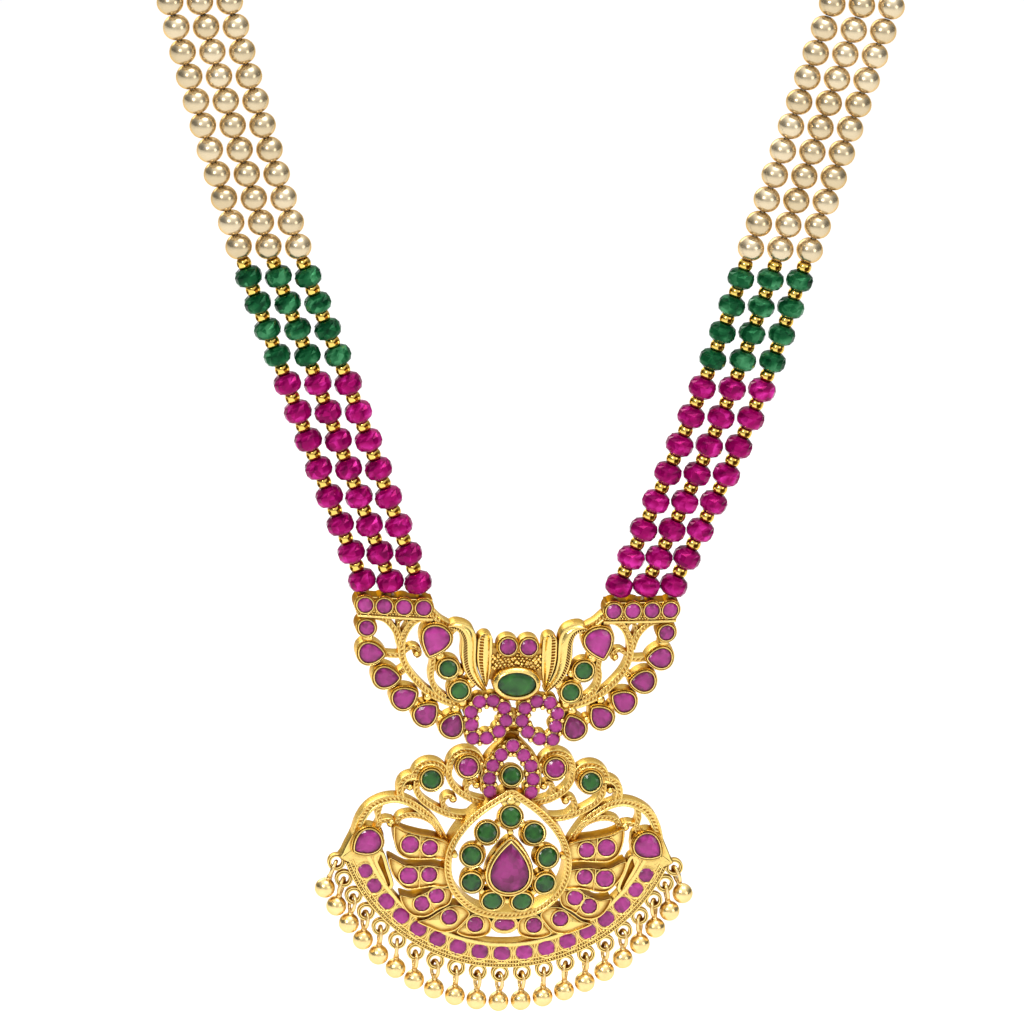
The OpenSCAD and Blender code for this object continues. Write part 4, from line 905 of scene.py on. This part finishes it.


# Leaves: five polished gold leaves on each side between frame and band, cast with them. Each
# has a raised rim and one or two rubies, and slots part it from the next, their walls darkened as
# painted shade.
LEAVES = [
    [(9, -18), (11.2, -16.9), (13.5, -16.5), (15.8, -15.9), (17.7, -15.1), (17.9, -16.6), (17.6, -18.2),
     (17, -19.5), (15.6, -20.4), (13.4, -20.5), (11.3, -20.4), (9, -20.4)],
    [(9, -22.2), (11.2, -21.4), (13, -21.3), (15.4, -21.5), (18.3, -20.2), (18.1, -22.2), (17, -24),
     (15.4, -25.3), (13.2, -25.1), (11.4, -24.8), (9, -24.7)],
    [(8.4, -25.2), (10.6, -24.8), (12.6, -25.7), (14.4, -26.5), (16.4, -26.2), (15.7, -28.2), (14.2, -29.5),
     (12.2, -29.6), (10.4, -28.5), (8.6, -27.4)],
    [(6.6, -27.8), (8.5, -27.7), (10.3, -28.7), (11.9, -29.8), (13.6, -30.4), (11.6, -31.4), (9.6, -32.1),
     (7.7, -31.8), (6.3, -30.5), (5.4, -29)],
    [(3, -29.2), (5, -29), (6.3, -30.4), (7.4, -31.9), (6, -32.7), (4, -32.8), (2.3, -32.1), (2, -30.4)],
]
# Columns: x, height and diameter.
LEAF_RUBIES = [(12.15, -18.55, 2.4), (15.2, -18.1, 2.7), (12.05, -22.85, 2.4), (15.2, -23.05, 2.75),
               (10.75, -26.2, 2.4), (12.95, -27.5, 2.4), (8.6, -29.6, 2.4), (4.55, -30.7, 2.4)]
LEAF_OVAL = (0, -30.6, 3.2, 2.0)
LEAF_RISE, LEAF_POINTS = 1.5, 81
OVAL_LEAF, OVAL_LEAF_STEPS = (0, -30.6, 4.4, 3.2), [
    (0, FAN_DEEP + 0.3, 0.1), (0, 1.2, 0.6), (-0.12, 1.45, 1), (-0.3, 1.45, 0.8), (-0.6, 1.4, 0.8)]
# Low bars cross the leaves that hold two rubies.
LEAF_BARS = [[(13.75, -16.7), (13.6, -20.3)], [(13.7, -21.5), (13.5, -25)], [(12.5, -25.9), (11, -28.7)]]
LEAF_BAR_HALF = 0.14
# Rim columns: growth from the leaf's outline, height, shade. Face columns: share of the rim's
# inner edge measured from the leaf's middle, height, shade.
LEAF_RIM = [(-0.3, FAN_DEEP + 0.3, 0.35), (-0.12, FAN_DEEP + 0.32, 0.2), (-0.1, -1.5, 0), (-0.06, 0.6, 0.05),
            (0, 1.15, 0.3), (0, 1.4, 0.9), (-0.07, 1.56, 1), (-0.2, 1.58, 1), (-0.29, 1.46, 0.8),
            (-0.36, 1.22, 0.15)]
LEAF_FACE = [(0.95, 1.16, 0.35), (0.8, 1.2, 0.8), (0.5, 1.32, 0.95), (0.2, 1.36, 0.95)]


def leaf(points):
    """Leaf of rings: the rim's are the outline grown by each distance, and the face's shrink from the
    rim to the middle, middle + share x (inner edge - middle)."""
    outline = even(np.vstack([smooth(points, 5, closed=True), points[:1]]), LEAF_POINTS)[:-1]
    if np.cross(outline - outline.mean(0), np.roll(outline, -1, 0) - outline).sum() < 0:
        outline = outline[::-1]
    inner = grow(outline, LEAF_RIM[-1][0])
    middle = inner.mean(0)
    return loft([level(grow(outline, d), h, s) for d, h, s in LEAF_RIM] +
                [level(middle + w * (inner - middle), h, s) for w, h, s in LEAF_FACE])


leaf_gold = [leaf(points) for points in LEAVES]
leaf_gold += [pile(ring_of(x, z, d / 2, 28), raised(COLLAR, LEAF_RISE)) for x, z, d in LEAF_RUBIES]
leaf_gold += [strip(even(line, 9), DIVIDER, LEAF_BAR_HALF, lift=LEAF_RISE - 0.05) for line in LEAF_BARS]
middle_leaf = [pile(oval(*OVAL_LEAF), OVAL_LEAF_STEPS), pile(oval(*LEAF_OVAL), raised(COLLAR, LEAF_RISE))]
make_piece("fan_leaves", on_fan(join([both_sides(*leaf_gold), *middle_leaf])), cast_gold,
           "pendant", "gold", "fan_pendant")


# Frame: the pear-shaped gold hoop round the halo, two rims with milgrain between, raised over
# the leaves and cast with them, and the little tie between it and the arch.
FRAME_HALF = [(0, -9.4), (1.6, -10.3), (3.5, -11.6), (5.4, -13.2), (7.2, -15.2), (8.6, -17.5), (9.25, -20),
              (9.15, -22.5), (8.3, -24.8), (6.8, -26.7), (4.8, -28.1), (2.5, -28.8), (0, -29)]
FRAME_RISE, FRAME_DEEP, FRAME_HALF_WIDTH, FRAME_POINTS = 2.4, -5.2, 0.58, 185
frame_loop = FRAME_HALF + [(-x, z) for x, z in FRAME_HALF[-2:0:-1]]
frame_curve = smooth(frame_loop, 8, closed=True)
frame_curve = even(np.vstack([frame_curve, frame_curve[:1]]), FRAME_POINTS)[:-1]
frame_gold = [pitted(frame_curve, FRAME_DEEP, FRAME_HALF_WIDTH, closed=True, lift=FRAME_RISE),
              bulb(0, -10.6, 0.75, -2.0, FRAME_RISE + 0.1)]
make_piece("fan_frame", on_fan(join(frame_gold)), cast_gold, "pendant", "gold", "fan_pendant")


# Arch: the pointed row of small rubies under the link, on scallops with round prongs, cast with
# the fan. A plain rim runs round the outside of its stones, closer to them at the top, where the
# loops above have to clear it when the fan swings.
ARCH_RIGHT = [(0, -2.2), (1.75, -3.7), (2.95, -5.4), (3.4, -7.5), (3.2, -9.6)]
ARCH_RISE = 1.0
arch_line = [(-x, z) for x, z in ARCH_RIGHT[:0:-1]] + ARCH_RIGHT
ARCH_RIM = [(-1, FAN_DEEP + 0.35, 0.3), (-1, 0.2, 0.5), (-0.6, 0.42, 0.9), (0.5, 0.42, 1), (1, 0.2, 0.5),
            (1, FAN_DEEP + 0.35, 0.3)]
RIM_OUT, RIM_DIP, RIM_DIP_WIDE, RIM_HALF = 1.22, 0.28, 2.2, 0.2
rim_curve = smooth(arch_line)
rim_out = RIM_OUT - RIM_DIP * np.exp(-(rim_curve[:, :1] / RIM_DIP_WIDE)**2)
arch_rim = strip(rim_curve + rim_out * beside(rim_curve), ARCH_RIM, RIM_HALF)
arch_gold = join([pave_gold(arch_line, FAN_DEEP + 0.2, ARCH_RISE, False), arch_rim])
make_piece("fan_arch", on_fan(arch_gold), cast_gold, "pendant", "gold", "fan_pendant")


# Fan cups: tall tubes of gold that stand square to the fan's dome, round the halo greens, the
# arch green, the outer greens and shoulder rubies; a pear collar in the middle, and two
# egg-shaped ones at the band's ends.
HALO_GREENS = [(3.65, -15.4), (5.9, -19.1), (5.7, -23.4), (2.3, -26.4)]
HALO_TOP, ARCH_GREEN = (0, -12.95), (0, -6.9)
OUTER_GREENS, SHOULDER_RUBIES = [(12.35, -7.8)], [(6.75, -5.7)]
HALO_D, ARCH_D, HALO_WALL, HALO_DEEP, ARCH_DEEP = 2.9, 2.7, 0.62, -2.2, -2.9
ROUND_D, ROUND_WALL, ROUND_DEEP = 2.8, 0.66, -2.9
CENTRE_PEAR = (0, -20.6, 90)
CENTRE_SHAPE = (7.7, 6.7, 0.9)
END_RUBIES, END_SHAPE, END_WALL, END_RISE = [(21.8, -18.1, -35)], (4.3, 4.1, 0.6), 0.6, 0.9
DOME_HIGH, DOME_HEIGHT_MIDDLE, DOME_REACH = 4.0, -20.5, (14.2, 11.0)
SEAT_RISE = 0.5


def dome_height(x, z):
    """Height of the dome over the fan's front: high x exp(-(x/a)^2 - ((z - middle)/b)^2)."""
    a, b = DOME_REACH
    return DOME_HIGH * math.exp(-(x / a)**2 - ((z - DOME_HEIGHT_MIDDLE) / b)**2)


def on_dome(shape, x, z):
    """Relief made round (0, 0), stood at a point of the dome: right is z cross normal, up is normal cross
    right, and the point is the seat + x right + z up + h normal."""
    a, b = DOME_REACH
    high = dome_height(x, z)
    normal = np.array([2 * x / a**2 * high, -1, 2 * (z - DOME_HEIGHT_MIDDLE) / b**2 * high])
    normal /= np.linalg.norm(normal)
    right = np.cross([0, 0, 1], normal)
    right /= np.linalg.norm(right)
    up = np.cross(normal, right)
    points, faces = shape
    seat = np.array([x, FAN_FRONT - high - SEAT_RISE, z - HANG])
    placed = seat + points[:, :1] * right + points[:, 1:2] * up + points[:, 2:3] * normal
    return np.column_stack([placed, points[:, 3]]), faces


def dome_cup(x, z, d, wall, deep):
    """Round cup on the dome."""
    return on_dome(cup(ring_of(0, 0, d / 2, 32), wall, deep, 0), x, z)


PEAR_RISE, PEAR_DEEP = DOME_HIGH + 0.9, 1.6  # the pear's stone and its collar's foot
# Columns: growth from the centre pear's outline, height, shade.
PEAR_COLLAR = [
    (0.86, PEAR_DEEP, 0.5), (0.9, 3.9, 0.6), (0.88, 4.3, 0.9), (0.76, 4.55, 1), (0.55, 4.62, 0.7),
    (0.5, 4.5, 0.1), (0.44, 4.5, 0.1), (0.38, 4.78, 0.8), (0.26, 4.9, 1), (0.1, 4.88, 0.9),
    (0.04, 4.5, 0.2), (0.04, 3.5, 0.05)]
end_cups = [cup(pear(*place, *END_SHAPE), END_WALL, FAN_DEEP + 0.5, END_RISE) for place in END_RUBIES]
fan_cup_parts = [
    both_sides(*(dome_cup(*place, HALO_D, HALO_WALL, HALO_DEEP) for place in HALO_GREENS)),
    dome_cup(*HALO_TOP, HALO_D, HALO_WALL, HALO_DEEP), dome_cup(*ARCH_GREEN, ARCH_D, HALO_WALL, ARCH_DEEP),
    both_sides(*(dome_cup(*place, ROUND_D, ROUND_WALL, ROUND_DEEP)
                 for place in OUTER_GREENS + SHOULDER_RUBIES)),
    on_fan(pile(pear(*CENTRE_PEAR, *CENTRE_SHAPE, n=56), PEAR_COLLAR)),
    on_fan(both_sides(*end_cups))]
# Ties: short bars that join the halo's cups to each other, to the frame and to the collar.
HALO_TIES = [(1.85, -14.2), (4.8, -17.25), (5.8, -21.25), (4, -24.9), (0, -26.4), (0, -15.4), (3.9, -22.4),
             (8.4, -19.3), (1, -11.1), (1, -10.6)]
TIE_R = 0.5
# Columns: growth from the tie's outline, height over the dome there, shade.
TIE = [(0, -1.55, 0.1), (0, 0, 0.5), (-0.12, 0.2, 0.9), (-0.3, 0.25, 1)]
for x, z in HALO_TIES:
    tie = pile(ring_of(x, z, TIE_R, 14), raised(TIE, dome_height(x, z)))
    fan_cup_parts.append(on_fan(both_sides(tie)))
# End plate: the narrow upright loop between the band's end and the leaf tips, over a floor darkened as
# painted shade.
END_PLATE = [(19.1, -19.8), (20.5, -20.2), (20.5, -21.4), (19.4, -23.7), (18.3, -25.9), (17.3, -25),
             (18.1, -22.4)]
PLATE_RIM = [(-1, -1.5, 0.1), (-1, -0.1, 0.6), (-0.7, 0.02, 1), (0.7, 0.02, 1), (1, -0.1, 0.6),
             (1, -1.5, 0.1)]
PLATE_RIM_OUT, PLATE_RIM_HALF = -0.3, 0.32
plate_line = smooth(END_PLATE[::-1], 5, closed=True)
plate_floor = pile(plate_line, [(0, FAN_DEEP + 0.02, 0.35), (0, -0.8, 0.1), (-0.1, -0.7, 0.05)])
plate_rim = strip(grow(plate_line, PLATE_RIM_OUT), PLATE_RIM, PLATE_RIM_HALF, closed=True)
fan_cup_parts.append(on_fan(both_sides(plate_floor, plate_rim)))
# Cheek: the flat piece under each egg-shaped cup that joins scroll and band.
CHEEK = [(20.4, -22.4), (25.5, -21.1), (25.4, -19.9), (24.5, -17.8), (23.6, -16.2), (21.5, -15.6),
         (19.2, -16.8)]
CHEEK_STEPS = [(0, FAN_DEEP + 0.04, 0.35), (0, -0.2, 0.6), (-0.15, 0, 1), (-0.4, -0.03, 0.8)]
fan_cup_parts.append(on_fan(both_sides(pile(smooth(CHEEK, 5, closed=True), CHEEK_STEPS))))
make_piece("fan_cups", join(fan_cup_parts), cast_gold, "pendant", "gold", "fan_pendant")


# Fan stones: foiled rubies and greens cut like the crescent's. Each is seated in its cup or
# collar and tilted with it, and its table stands a little proud of the gold.
def dome_gem(x, z, d):
    """Round stone seated like its cup on the dome."""
    return on_dome(round_gem(0, 0, d, 0), x, z)


band_stones = join(round_gem(*at_turn(BAND_STONE_R, turn), size, 0)
                   for turn, size in zip(band_turns, band_sizes))
leaf_stones = [both_sides(round_gem(x, z, d, LEAF_RISE)) for x, z, d in LEAF_RUBIES]
leaf_stones.append(gem(lambda n: oval(*LEAF_OVAL, n=n), 0.6, LEAF_RISE + STONE_PROUD, STONE_DEPTH))
halo_stones = [both_sides(*(dome_gem(*place, HALO_D) for place in HALO_GREENS)), dome_gem(*HALO_TOP, HALO_D)]
# Columns: name, stones, material, slot and the CAD node that they stand for.
for name, stones, foil, slot, *nodes in [
        ("cut_band_rubies", on_fan(band_stones), foiled_ruby, "ruby", "band_rubies"),
        ("cut_leaf_rubies", on_fan(join(leaf_stones)), foiled_ruby, "ruby", "leaf_rubies"),
        ("cut_halo_greens", join(halo_stones), foiled_green, "green", "halo_greens"),
        ("cut_arch_green", dome_gem(*ARCH_GREEN, ARCH_D), foiled_green, "green", "arch_green"),
        ("cut_outer_greens", both_sides(*(dome_gem(*place, ROUND_D) for place in OUTER_GREENS)),
         foiled_green, "green", "outer_greens"),
        ("cut_shoulder_rubies", both_sides(*(dome_gem(*place, ROUND_D) for place in SHOULDER_RUBIES)),
         foiled_ruby, "ruby", "shoulder_rubies"),
        ("cut_end_rubies", on_fan(both_sides(pear_gems(END_RUBIES, END_SHAPE, END_RISE, (0.4, 0.7)))),
         foiled_ruby, "ruby", "end_rubies"),
        ("cut_centre_pear", on_fan(pear_gems([CENTRE_PEAR], CENTRE_SHAPE, PEAR_RISE, (0.2, 0.4))),
         foiled_ruby, "ruby", "centre_pear"),
        ("arch_rubies", on_fan(round_gems(arch_line, PAVE_D, ARCH_RISE + 0.02)), foiled_ruby, "ruby")]:
    make_piece(name, stones, foil, "pendant", slot, *nodes, crease=0)


# Drops: satin gold balls on short necks, turned on a lathe, with a long wire loop through the
# eyelet. Each hangs at its own twist, and those at the ends lean outwards.
DROP_LOOP_R, DROP_LOOP_NARROW, DROP_WIRE_R, DROP_LOW, DROP_BALL_D = 1.35, 0.62, 0.3, 4.54, 3.15
SPLAY, SPLAY_POWER, DROP_TWIST = 20, 5, 35
LOOP_HANG = (EYELET_R + EYELET_HOLE) / 2 + 0.25
# Columns down the drop: height from the ball's middle as a share of its radius, radius as a share.
DROP_TURNED = [(1.5, 0.12), (1.42, 0.24), (1.25, 0.28), (1.08, 0.27), (0.98, 0.33), (0.9, 0.46),
               (0.78, 0.63), (0.6, 0.8), (0.35, 0.94), (0.1, 0.995), (-0.15, 0.99), (-0.4, 0.92),
               (-0.62, 0.79), (-0.8, 0.6), (-0.92, 0.38), (-0.985, 0.17)]


def drop():
    """Ball and neck turned on a lathe, and a round wire bent to a loop that reaches into the neck: the
    loop is (0, narrow x R sin t, R cos t), and the wire r (cos b out + sin b x) round it."""
    r, t, b = DROP_BALL_D / 2, turns(28), turns(10)
    ball = loft([level(ring_of(0, 0, r * w, 24), r * up - DROP_LOW, 0.8) for up, w in DROP_TURNED])
    zero, half_wide = np.zeros(len(t)), DROP_LOOP_R * DROP_LOOP_NARROW
    middle = np.stack([zero, half_wide * np.sin(t), DROP_LOOP_R * np.cos(t) - LOOP_HANG], 1)
    out = np.stack([zero, np.sin(t), np.cos(t)], 1)
    around = np.cos(b)[None, :, None] * out[:, None] + np.sin(b)[None, :, None] * np.array([1, 0, 0])
    wire = middle[:, None] + DROP_WIRE_R * around
    wire = np.concatenate([wire, np.full(wire.shape[:2] + (1,), 0.75)], 2)
    return join([ball, loft(wire, closed=True)])


def turned(shape, about_z, about_y, place):
    """Shape turned about z, then about y, both in degrees, and moved."""
    cz, sz = math.cos(math.radians(about_z)), math.sin(math.radians(about_z))
    cy, sy = math.cos(math.radians(about_y)), math.sin(math.radians(about_y))
    turn = np.array([[cy, 0, sy], [0, 1, 0], [-sy, 0, cy]]) @ [[cz, -sz, 0], [sz, cz, 0], [0, 0, 1]]
    points, faces = shape
    return np.column_stack([points[:, :3] @ turn.T + place, points[:, 3]]), faces


satin_gold = gold("satin_gold", bright=(0.92, 0.7, 0.32), deep=(0.36, 0.15, 0.015), polished=0.22, matt=0.42,
                  grain=0.6)
drops = []
for turn, share in zip(eyelet_turns, np.linspace(-1, 1, EYELET_COUNT)):
    x, z = at_turn(EYELET_CIRCLE, turn)
    twist, lean = rng.uniform(-DROP_TWIST, DROP_TWIST), -SPLAY * share**SPLAY_POWER
    drops.append(turned(drop(), twist, lean, np.array([x, EYELET_Y, z - HANG])))
make_piece("gold_drops", join(drops), satin_gold, "pendant", "drop_gold", "fan_drops")


# Strings: three on each side, along the routes that the CAD gives them, from inside the bar
# up over the shoulders to the nape. Each carries ruby rondelles, then emerald ones, a gold
# spacer over each, and pearls all the way round.
# Columns: the middle string's x, y, z, then the step from it to the outer string, then how far
# the strings of both sides lean to the left there.
ROUTE = np.array([
    (18.9, 1.1, -171, 4.2, 0.5, 0, 0), (19.9, 1.1, -167, 4.3, 0.5, 0, 0),
    (26.3, 1.1, -151, 4.6, 0.4, 0, 0.1), (32.3, 1.2, -135, 4.7, 0.3, 0, 0.5),
    (38.2, 1.3, -118, 4.6, 0.2, 0, 1.5), (43.4, 1.4, -101, 4.6, 0.1, 0, 2.1),
    (47.9, 1.7, -86, 4.6, 0, 0, 2.4), (51.1, 2.4, -75, 4.6, 0, 0, 2.4),
    (54.3, 6, -64, 4.5, 0, -0.5, 2.3), (57.5, 15, -51, 4.3, 0.3, -1, 2),
    (59.8, 30, -38, 4.1, 0.6, -1.4, 1.5), (59.8, 47, -27, 3.9, 0.9, -2, 1),
    (56, 64, -18, 3.5, 1.4, -2.6, 0.6), (48, 80, -11, 2.8, 1.7, -3.2, 0.3),
    (36, 93, -5.5, 1.8, 1.8, -3.8, 0.1), (21, 102, -2, 0.7, 1.2, -4.3, 0),
    (6, 105, 0, 0, 0, -4.5, 0)])
STRANDS = {"inner": -1, "middle": 0, "outer": 1}
RUBY_D, RUBY_L, RUBY_PITCH, RUBY_COUNT, FIRST_RUBY = 4.3, 3.1, 4.8, 8, 3.9
EMERALD_D, EMERALD_L, EMERALD_PITCH, EMERALD_COUNT = 4.2, 2.9, 4.45, 4
FIRST_EMERALD = FIRST_RUBY + (RUBY_COUNT - 1) * RUBY_PITCH + 4.75
FIRST_PEARL = FIRST_EMERALD + (EMERALD_COUNT - 1) * EMERALD_PITCH + 5
PEARL_D, PEARL_WIDE, PEARL_PLAIN_WIDE, PEARL_PITCH, PEARLS_DRAWN_FINE = 3.98, 4.12, 3.88, 4.0, 14
BORE_R, SPACER_R, SPACER_L = 0.475, 1.13, 1.65
NEARLY_DOWN = [0.3, 0.2, -1]


def bead_frames(curve, distances, spin):
    """Place and turned axes of beads on a string: the third axis runs along it, the first is the cross
    product of it and a nearly upright way, and both others are spun about the third by each bead's
    angle."""
    here, ahead, behind = (at_lengths(curve, distances + d) for d in (0, 0.5, -0.5))
    along = (ahead - behind) / np.linalg.norm(ahead - behind, axis=1, keepdims=True)
    first = np.cross(along, NEARLY_DOWN)
    first /= np.linalg.norm(first, axis=1, keepdims=True)
    second = np.cross(along, first)
    c, w = np.cos(spin)[:, None], np.sin(spin)[:, None]
    return here, np.stack([c * first + w * second, c * second - w * first, along], 2)


def threaded(shape, frames, tones):
    """Copies of a bead, each turned by its axes and moved to its place; its shade is its own tone."""
    here, axes = frames
    points, faces = shape
    placed = here[:, None] + np.einsum("kij,vj->kvi", axes, points[:, :3])
    shade = np.broadcast_to(points[None, :, 3:] * tones[:, None, None], placed.shape[:2] + (1,))
    return np.concatenate([placed, shade], 2).reshape(-1, 4), repeat_faces(faces, len(points), len(here))


def bored(profile, n, half_step=()):
    """Bead round z: rings of n points at each height and radius of the profile, down its outside and
    back through the bore, as one closed skin. Rings named in half_step are turned by half a step."""
    return loft([level(ring_of(0, 0, radius, n, math.pi / n if k in half_step else 0), height, shade)
                 for k, (height, radius, shade) in enumerate(profile)], closed=True)


def pearl(n, rows, wide):
    """Sphere from bore to bore, a little wider or narrower across than along the string."""
    tip = math.asin(BORE_R / (PEARL_D / 2))
    angles = np.linspace(tip, math.pi - tip, rows)
    return bored([(PEARL_D / 2 * math.cos(a), wide / 2 * math.sin(a), 1) for a in angles], n)


def rondelle(d, l):
    """Cut bead: a bore mouth, a ring of long facets, a belt of short ones at half a step, and the same
    again; the quads between turned rings are split into triangles. Each corner has a seeded shade,
    painted highlights and reflections on its facets."""
    half = [(0.15 * l, 0.5 * d, 1), (0.37 * l, 0.43 * d, 1), (l / 2, 0.28 * d, 1), (l / 2, BORE_R, 1)]
    points, faces = bored([(-up, w, s) for up, w, s in half[::-1]] + half, 12, half_step=(2, 5))
    # Seeded shades paint highlights and reflections on the facets.
    points[:, 3] = rng.uniform(0, 1, len(points))
    none = np.full(len(faces), -1)
    split = np.vstack([np.column_stack([faces[:, :3], none]), np.column_stack([faces[:, [0, 2, 3]], none])])
    return points, split


DENT_SHARE, DENT_PAINTED_SHADE = 0.7, -1.2


def spacer():
    """Small gold barrel with eased ends and four dents round its waist, both darkened as painted shade."""
    side = [(-0.5, 0.5, 0), (-0.5, 0.66, 0), (-0.44, 0.8, 0.3), (-0.3, 0.92, 0.9), (-0.14, 0.99, 1)]
    profile = side + [(0, 1, 1)] + [(-up, w, s) for up, w, s in side[::-1]]
    n = 16
    points, faces = bored([(up * SPACER_L, w * SPACER_R, s) for up, w, s in profile], n)
    waist = points[4 * n:7 * n].reshape(3, n, 4)  # the widest ring and its two neighbours
    waist[1, ::4, :2] *= DENT_SHARE
    waist[:, ::4, 3] = DENT_PAINTED_SHADE
    return points, faces


def pearl_material():
    """Champagne pearl: a cream lustre that turns golden towards its rim, with faint clouds of tone."""
    material = new_material("pearl_lustre")
    cloud = new_node(material, "TexNoise", {"Vector": place_of(material), "Scale": 350.0, "Detail": 3.0})
    blend = blended(material, cloud.outputs["Fac"], 0.6, shade_of(material), 0.5, 1.4)
    return surfaced(material, {
        "Base Color": two_tones(material, blend, (0.56, 0.45, 0.28), (0.7, 0.59, 0.41)), "Roughness": 0.24,
        "Metallic": 0.9, "Specular Tint": (1.0, 0.6, 0.12, 1), "Sheen Weight": 0.8,
        "Sheen Tint": (1.0, 0.58, 0.1, 1), "Sheen Roughness": 0.25})


def glass_material(name, dark, middle, light, ior):
    """Deep coloured stone: dark, middle and light tones by each corner's shade and by angular cells,
    painted reflections of the facets of its far side; the light tone gives painted highlights."""
    material = new_material(name)
    painted_facet_reflections = new_node(material, "TexVoronoi", {"Vector": place_of(material), "Scale": 1000.0})
    tone = blended(material, painted_facet_reflections.outputs["Color"], 0.7, shade_of(material), 0.15, 1.45)
    ramp = new_node(material, "ValToRGB", {0: tone})
    ramp.color_ramp.elements[0].color, ramp.color_ramp.elements[1].color = (*dark, 1), (*light, 1)
    ramp.color_ramp.elements.new(0.5).color = (*middle, 1)
    return surfaced(material, {
        "Base Color": ramp.outputs[0], "Roughness": 0.08, "Transmission Weight": 0.04, "IOR": ior,
        "Metallic": 0.3, "Specular Tint": (0.3, 0.3, 0.3, 1), "Specular IOR Level": 0.2})


pearl_lustre = pearl_material()
ruby_glass = glass_material("ruby_glass", (0.1, 0, 0.035), (0.32, 0.001, 0.11), (0.7, 0.03, 0.36), 1.6)
emerald_glass = glass_material("emerald_glass", (0, 0.018, 0.006), (0.006, 0.09, 0.028), (0.07, 0.3, 0.13),
                               1.57)
bright_gold = gold("bright_gold", bright=(0.85, 0.6, 0.14), deep=(0.16, 0.06, 0.004), polished=0.1, matt=0.3,
                   grain=0.1)

fine_pearl, plain_pearl = pearl(24, 14, PEARL_WIDE), pearl(14, 8, PEARL_PLAIN_WIDE)
ruby_bead, emerald_bead, gold_spacer = rondelle(RUBY_D, RUBY_L), rondelle(EMERALD_D, EMERALD_L), spacer()
ruby_at = FIRST_RUBY + RUBY_PITCH * np.arange(RUBY_COUNT)
emerald_at = FIRST_EMERALD + EMERALD_PITCH * np.arange(EMERALD_COUNT)
spacer_at = np.concatenate([ruby_at + RUBY_PITCH / 2, emerald_at + EMERALD_PITCH / 2])
spacer_at[RUBY_COUNT - 1] = (ruby_at[-1] + emerald_at[0]) / 2
for side, sign in (("left", -1), ("right", 1)):
    for strand, step in STRANDS.items():
        place = f"{side}_{strand}"
        route = sign * (ROUTE[:, :3] + step * ROUTE[:, 3:6]) * [1, sign, sign]
        route[:, 0] -= ROUTE[:, 6]
        curve = smooth(route)
        total = lengths(curve)[-1]
        for kind, bead, at, glass, node in (("ruby", ruby_bead, ruby_at, ruby_glass, "rubies"),
                                            ("emerald", emerald_bead, emerald_at, emerald_glass, "emeralds")):
            spins, tones = rng.uniform(0, 6, len(at)), rng.uniform(0.6, 1, len(at))
            make_piece(f"{kind}_beads_{place}", threaded(bead, bead_frames(curve, at, spins), tones), glass,
                       "necklace", f"{kind}_bead", f"{node}_{place}", crease=0)
        spacers = threaded(gold_spacer, bead_frames(curve, spacer_at, 0 * spacer_at), np.ones(len(spacer_at)))
        make_piece(f"gold_spacers_{place}", spacers, bright_gold, "necklace", "gold")
        # Past the fine pearls, each is a little further on, so that the last one ends at the clasp.
        pearl_at = np.arange(FIRST_PEARL, total - PEARL_D / 2, PEARL_PITCH)
        hidden_count = len(pearl_at) - PEARLS_DRAWN_FINE
        hidden_share = np.arange(1, hidden_count + 1) / hidden_count
        pearl_at[PEARLS_DRAWN_FINE:] += hidden_share * (total - PEARL_D / 2 - pearl_at[-1])
        tones, spins = rng.uniform(0.3, 1, len(pearl_at)), rng.uniform(0, 6, len(pearl_at))
        pearls = join(threaded(bead, bead_frames(curve, pearl_at[part], spins[part]), tones[part])
                      for bead, part in ((fine_pearl, slice(0, PEARLS_DRAWN_FINE)),
                                         (plain_pearl, slice(PEARLS_DRAWN_FINE, None))))
        make_piece(f"pearl_string_{place}", pearls, pearl_lustre, "necklace", "pearl",
                   f"pearls_{place}", f"upper_string_{place}", crease=60)


# Thread and clasp: twisted silk through every bead, and at the nape one plain gold bar that
# all six half strings end on. Both keep the CAD's own shapes.
def silk_material():
    """Twisted silk: fine slanted bands of tone."""
    material = new_material("silk")
    twist = new_node(material, "TexWave", {"Vector": place_of(material), "Scale": 1500.0, "Distortion": 1.0},
                     bands_direction="DIAGONAL").outputs["Fac"]
    return surfaced(material, {
        "Base Color": two_tones(material, twist, (0.5, 0.36, 0.2), (0.8, 0.68, 0.48)), "Roughness": 0.6})


silk = silk_material()
clasp_gold = gold("clasp_gold", bright=(0.93, 0.64, 0.22), deep=(0.9, 0.6, 0.2), polished=0.22, matt=0.22,
                  grain=0.4)
for name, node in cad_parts.items():
    if name.startswith("thread_") or name == "clasp":
        finish, slot = (clasp_gold, "gold") if name == "clasp" else (silk, "thread")
        node.data.materials.clear()
        node.data.materials.append(finish)
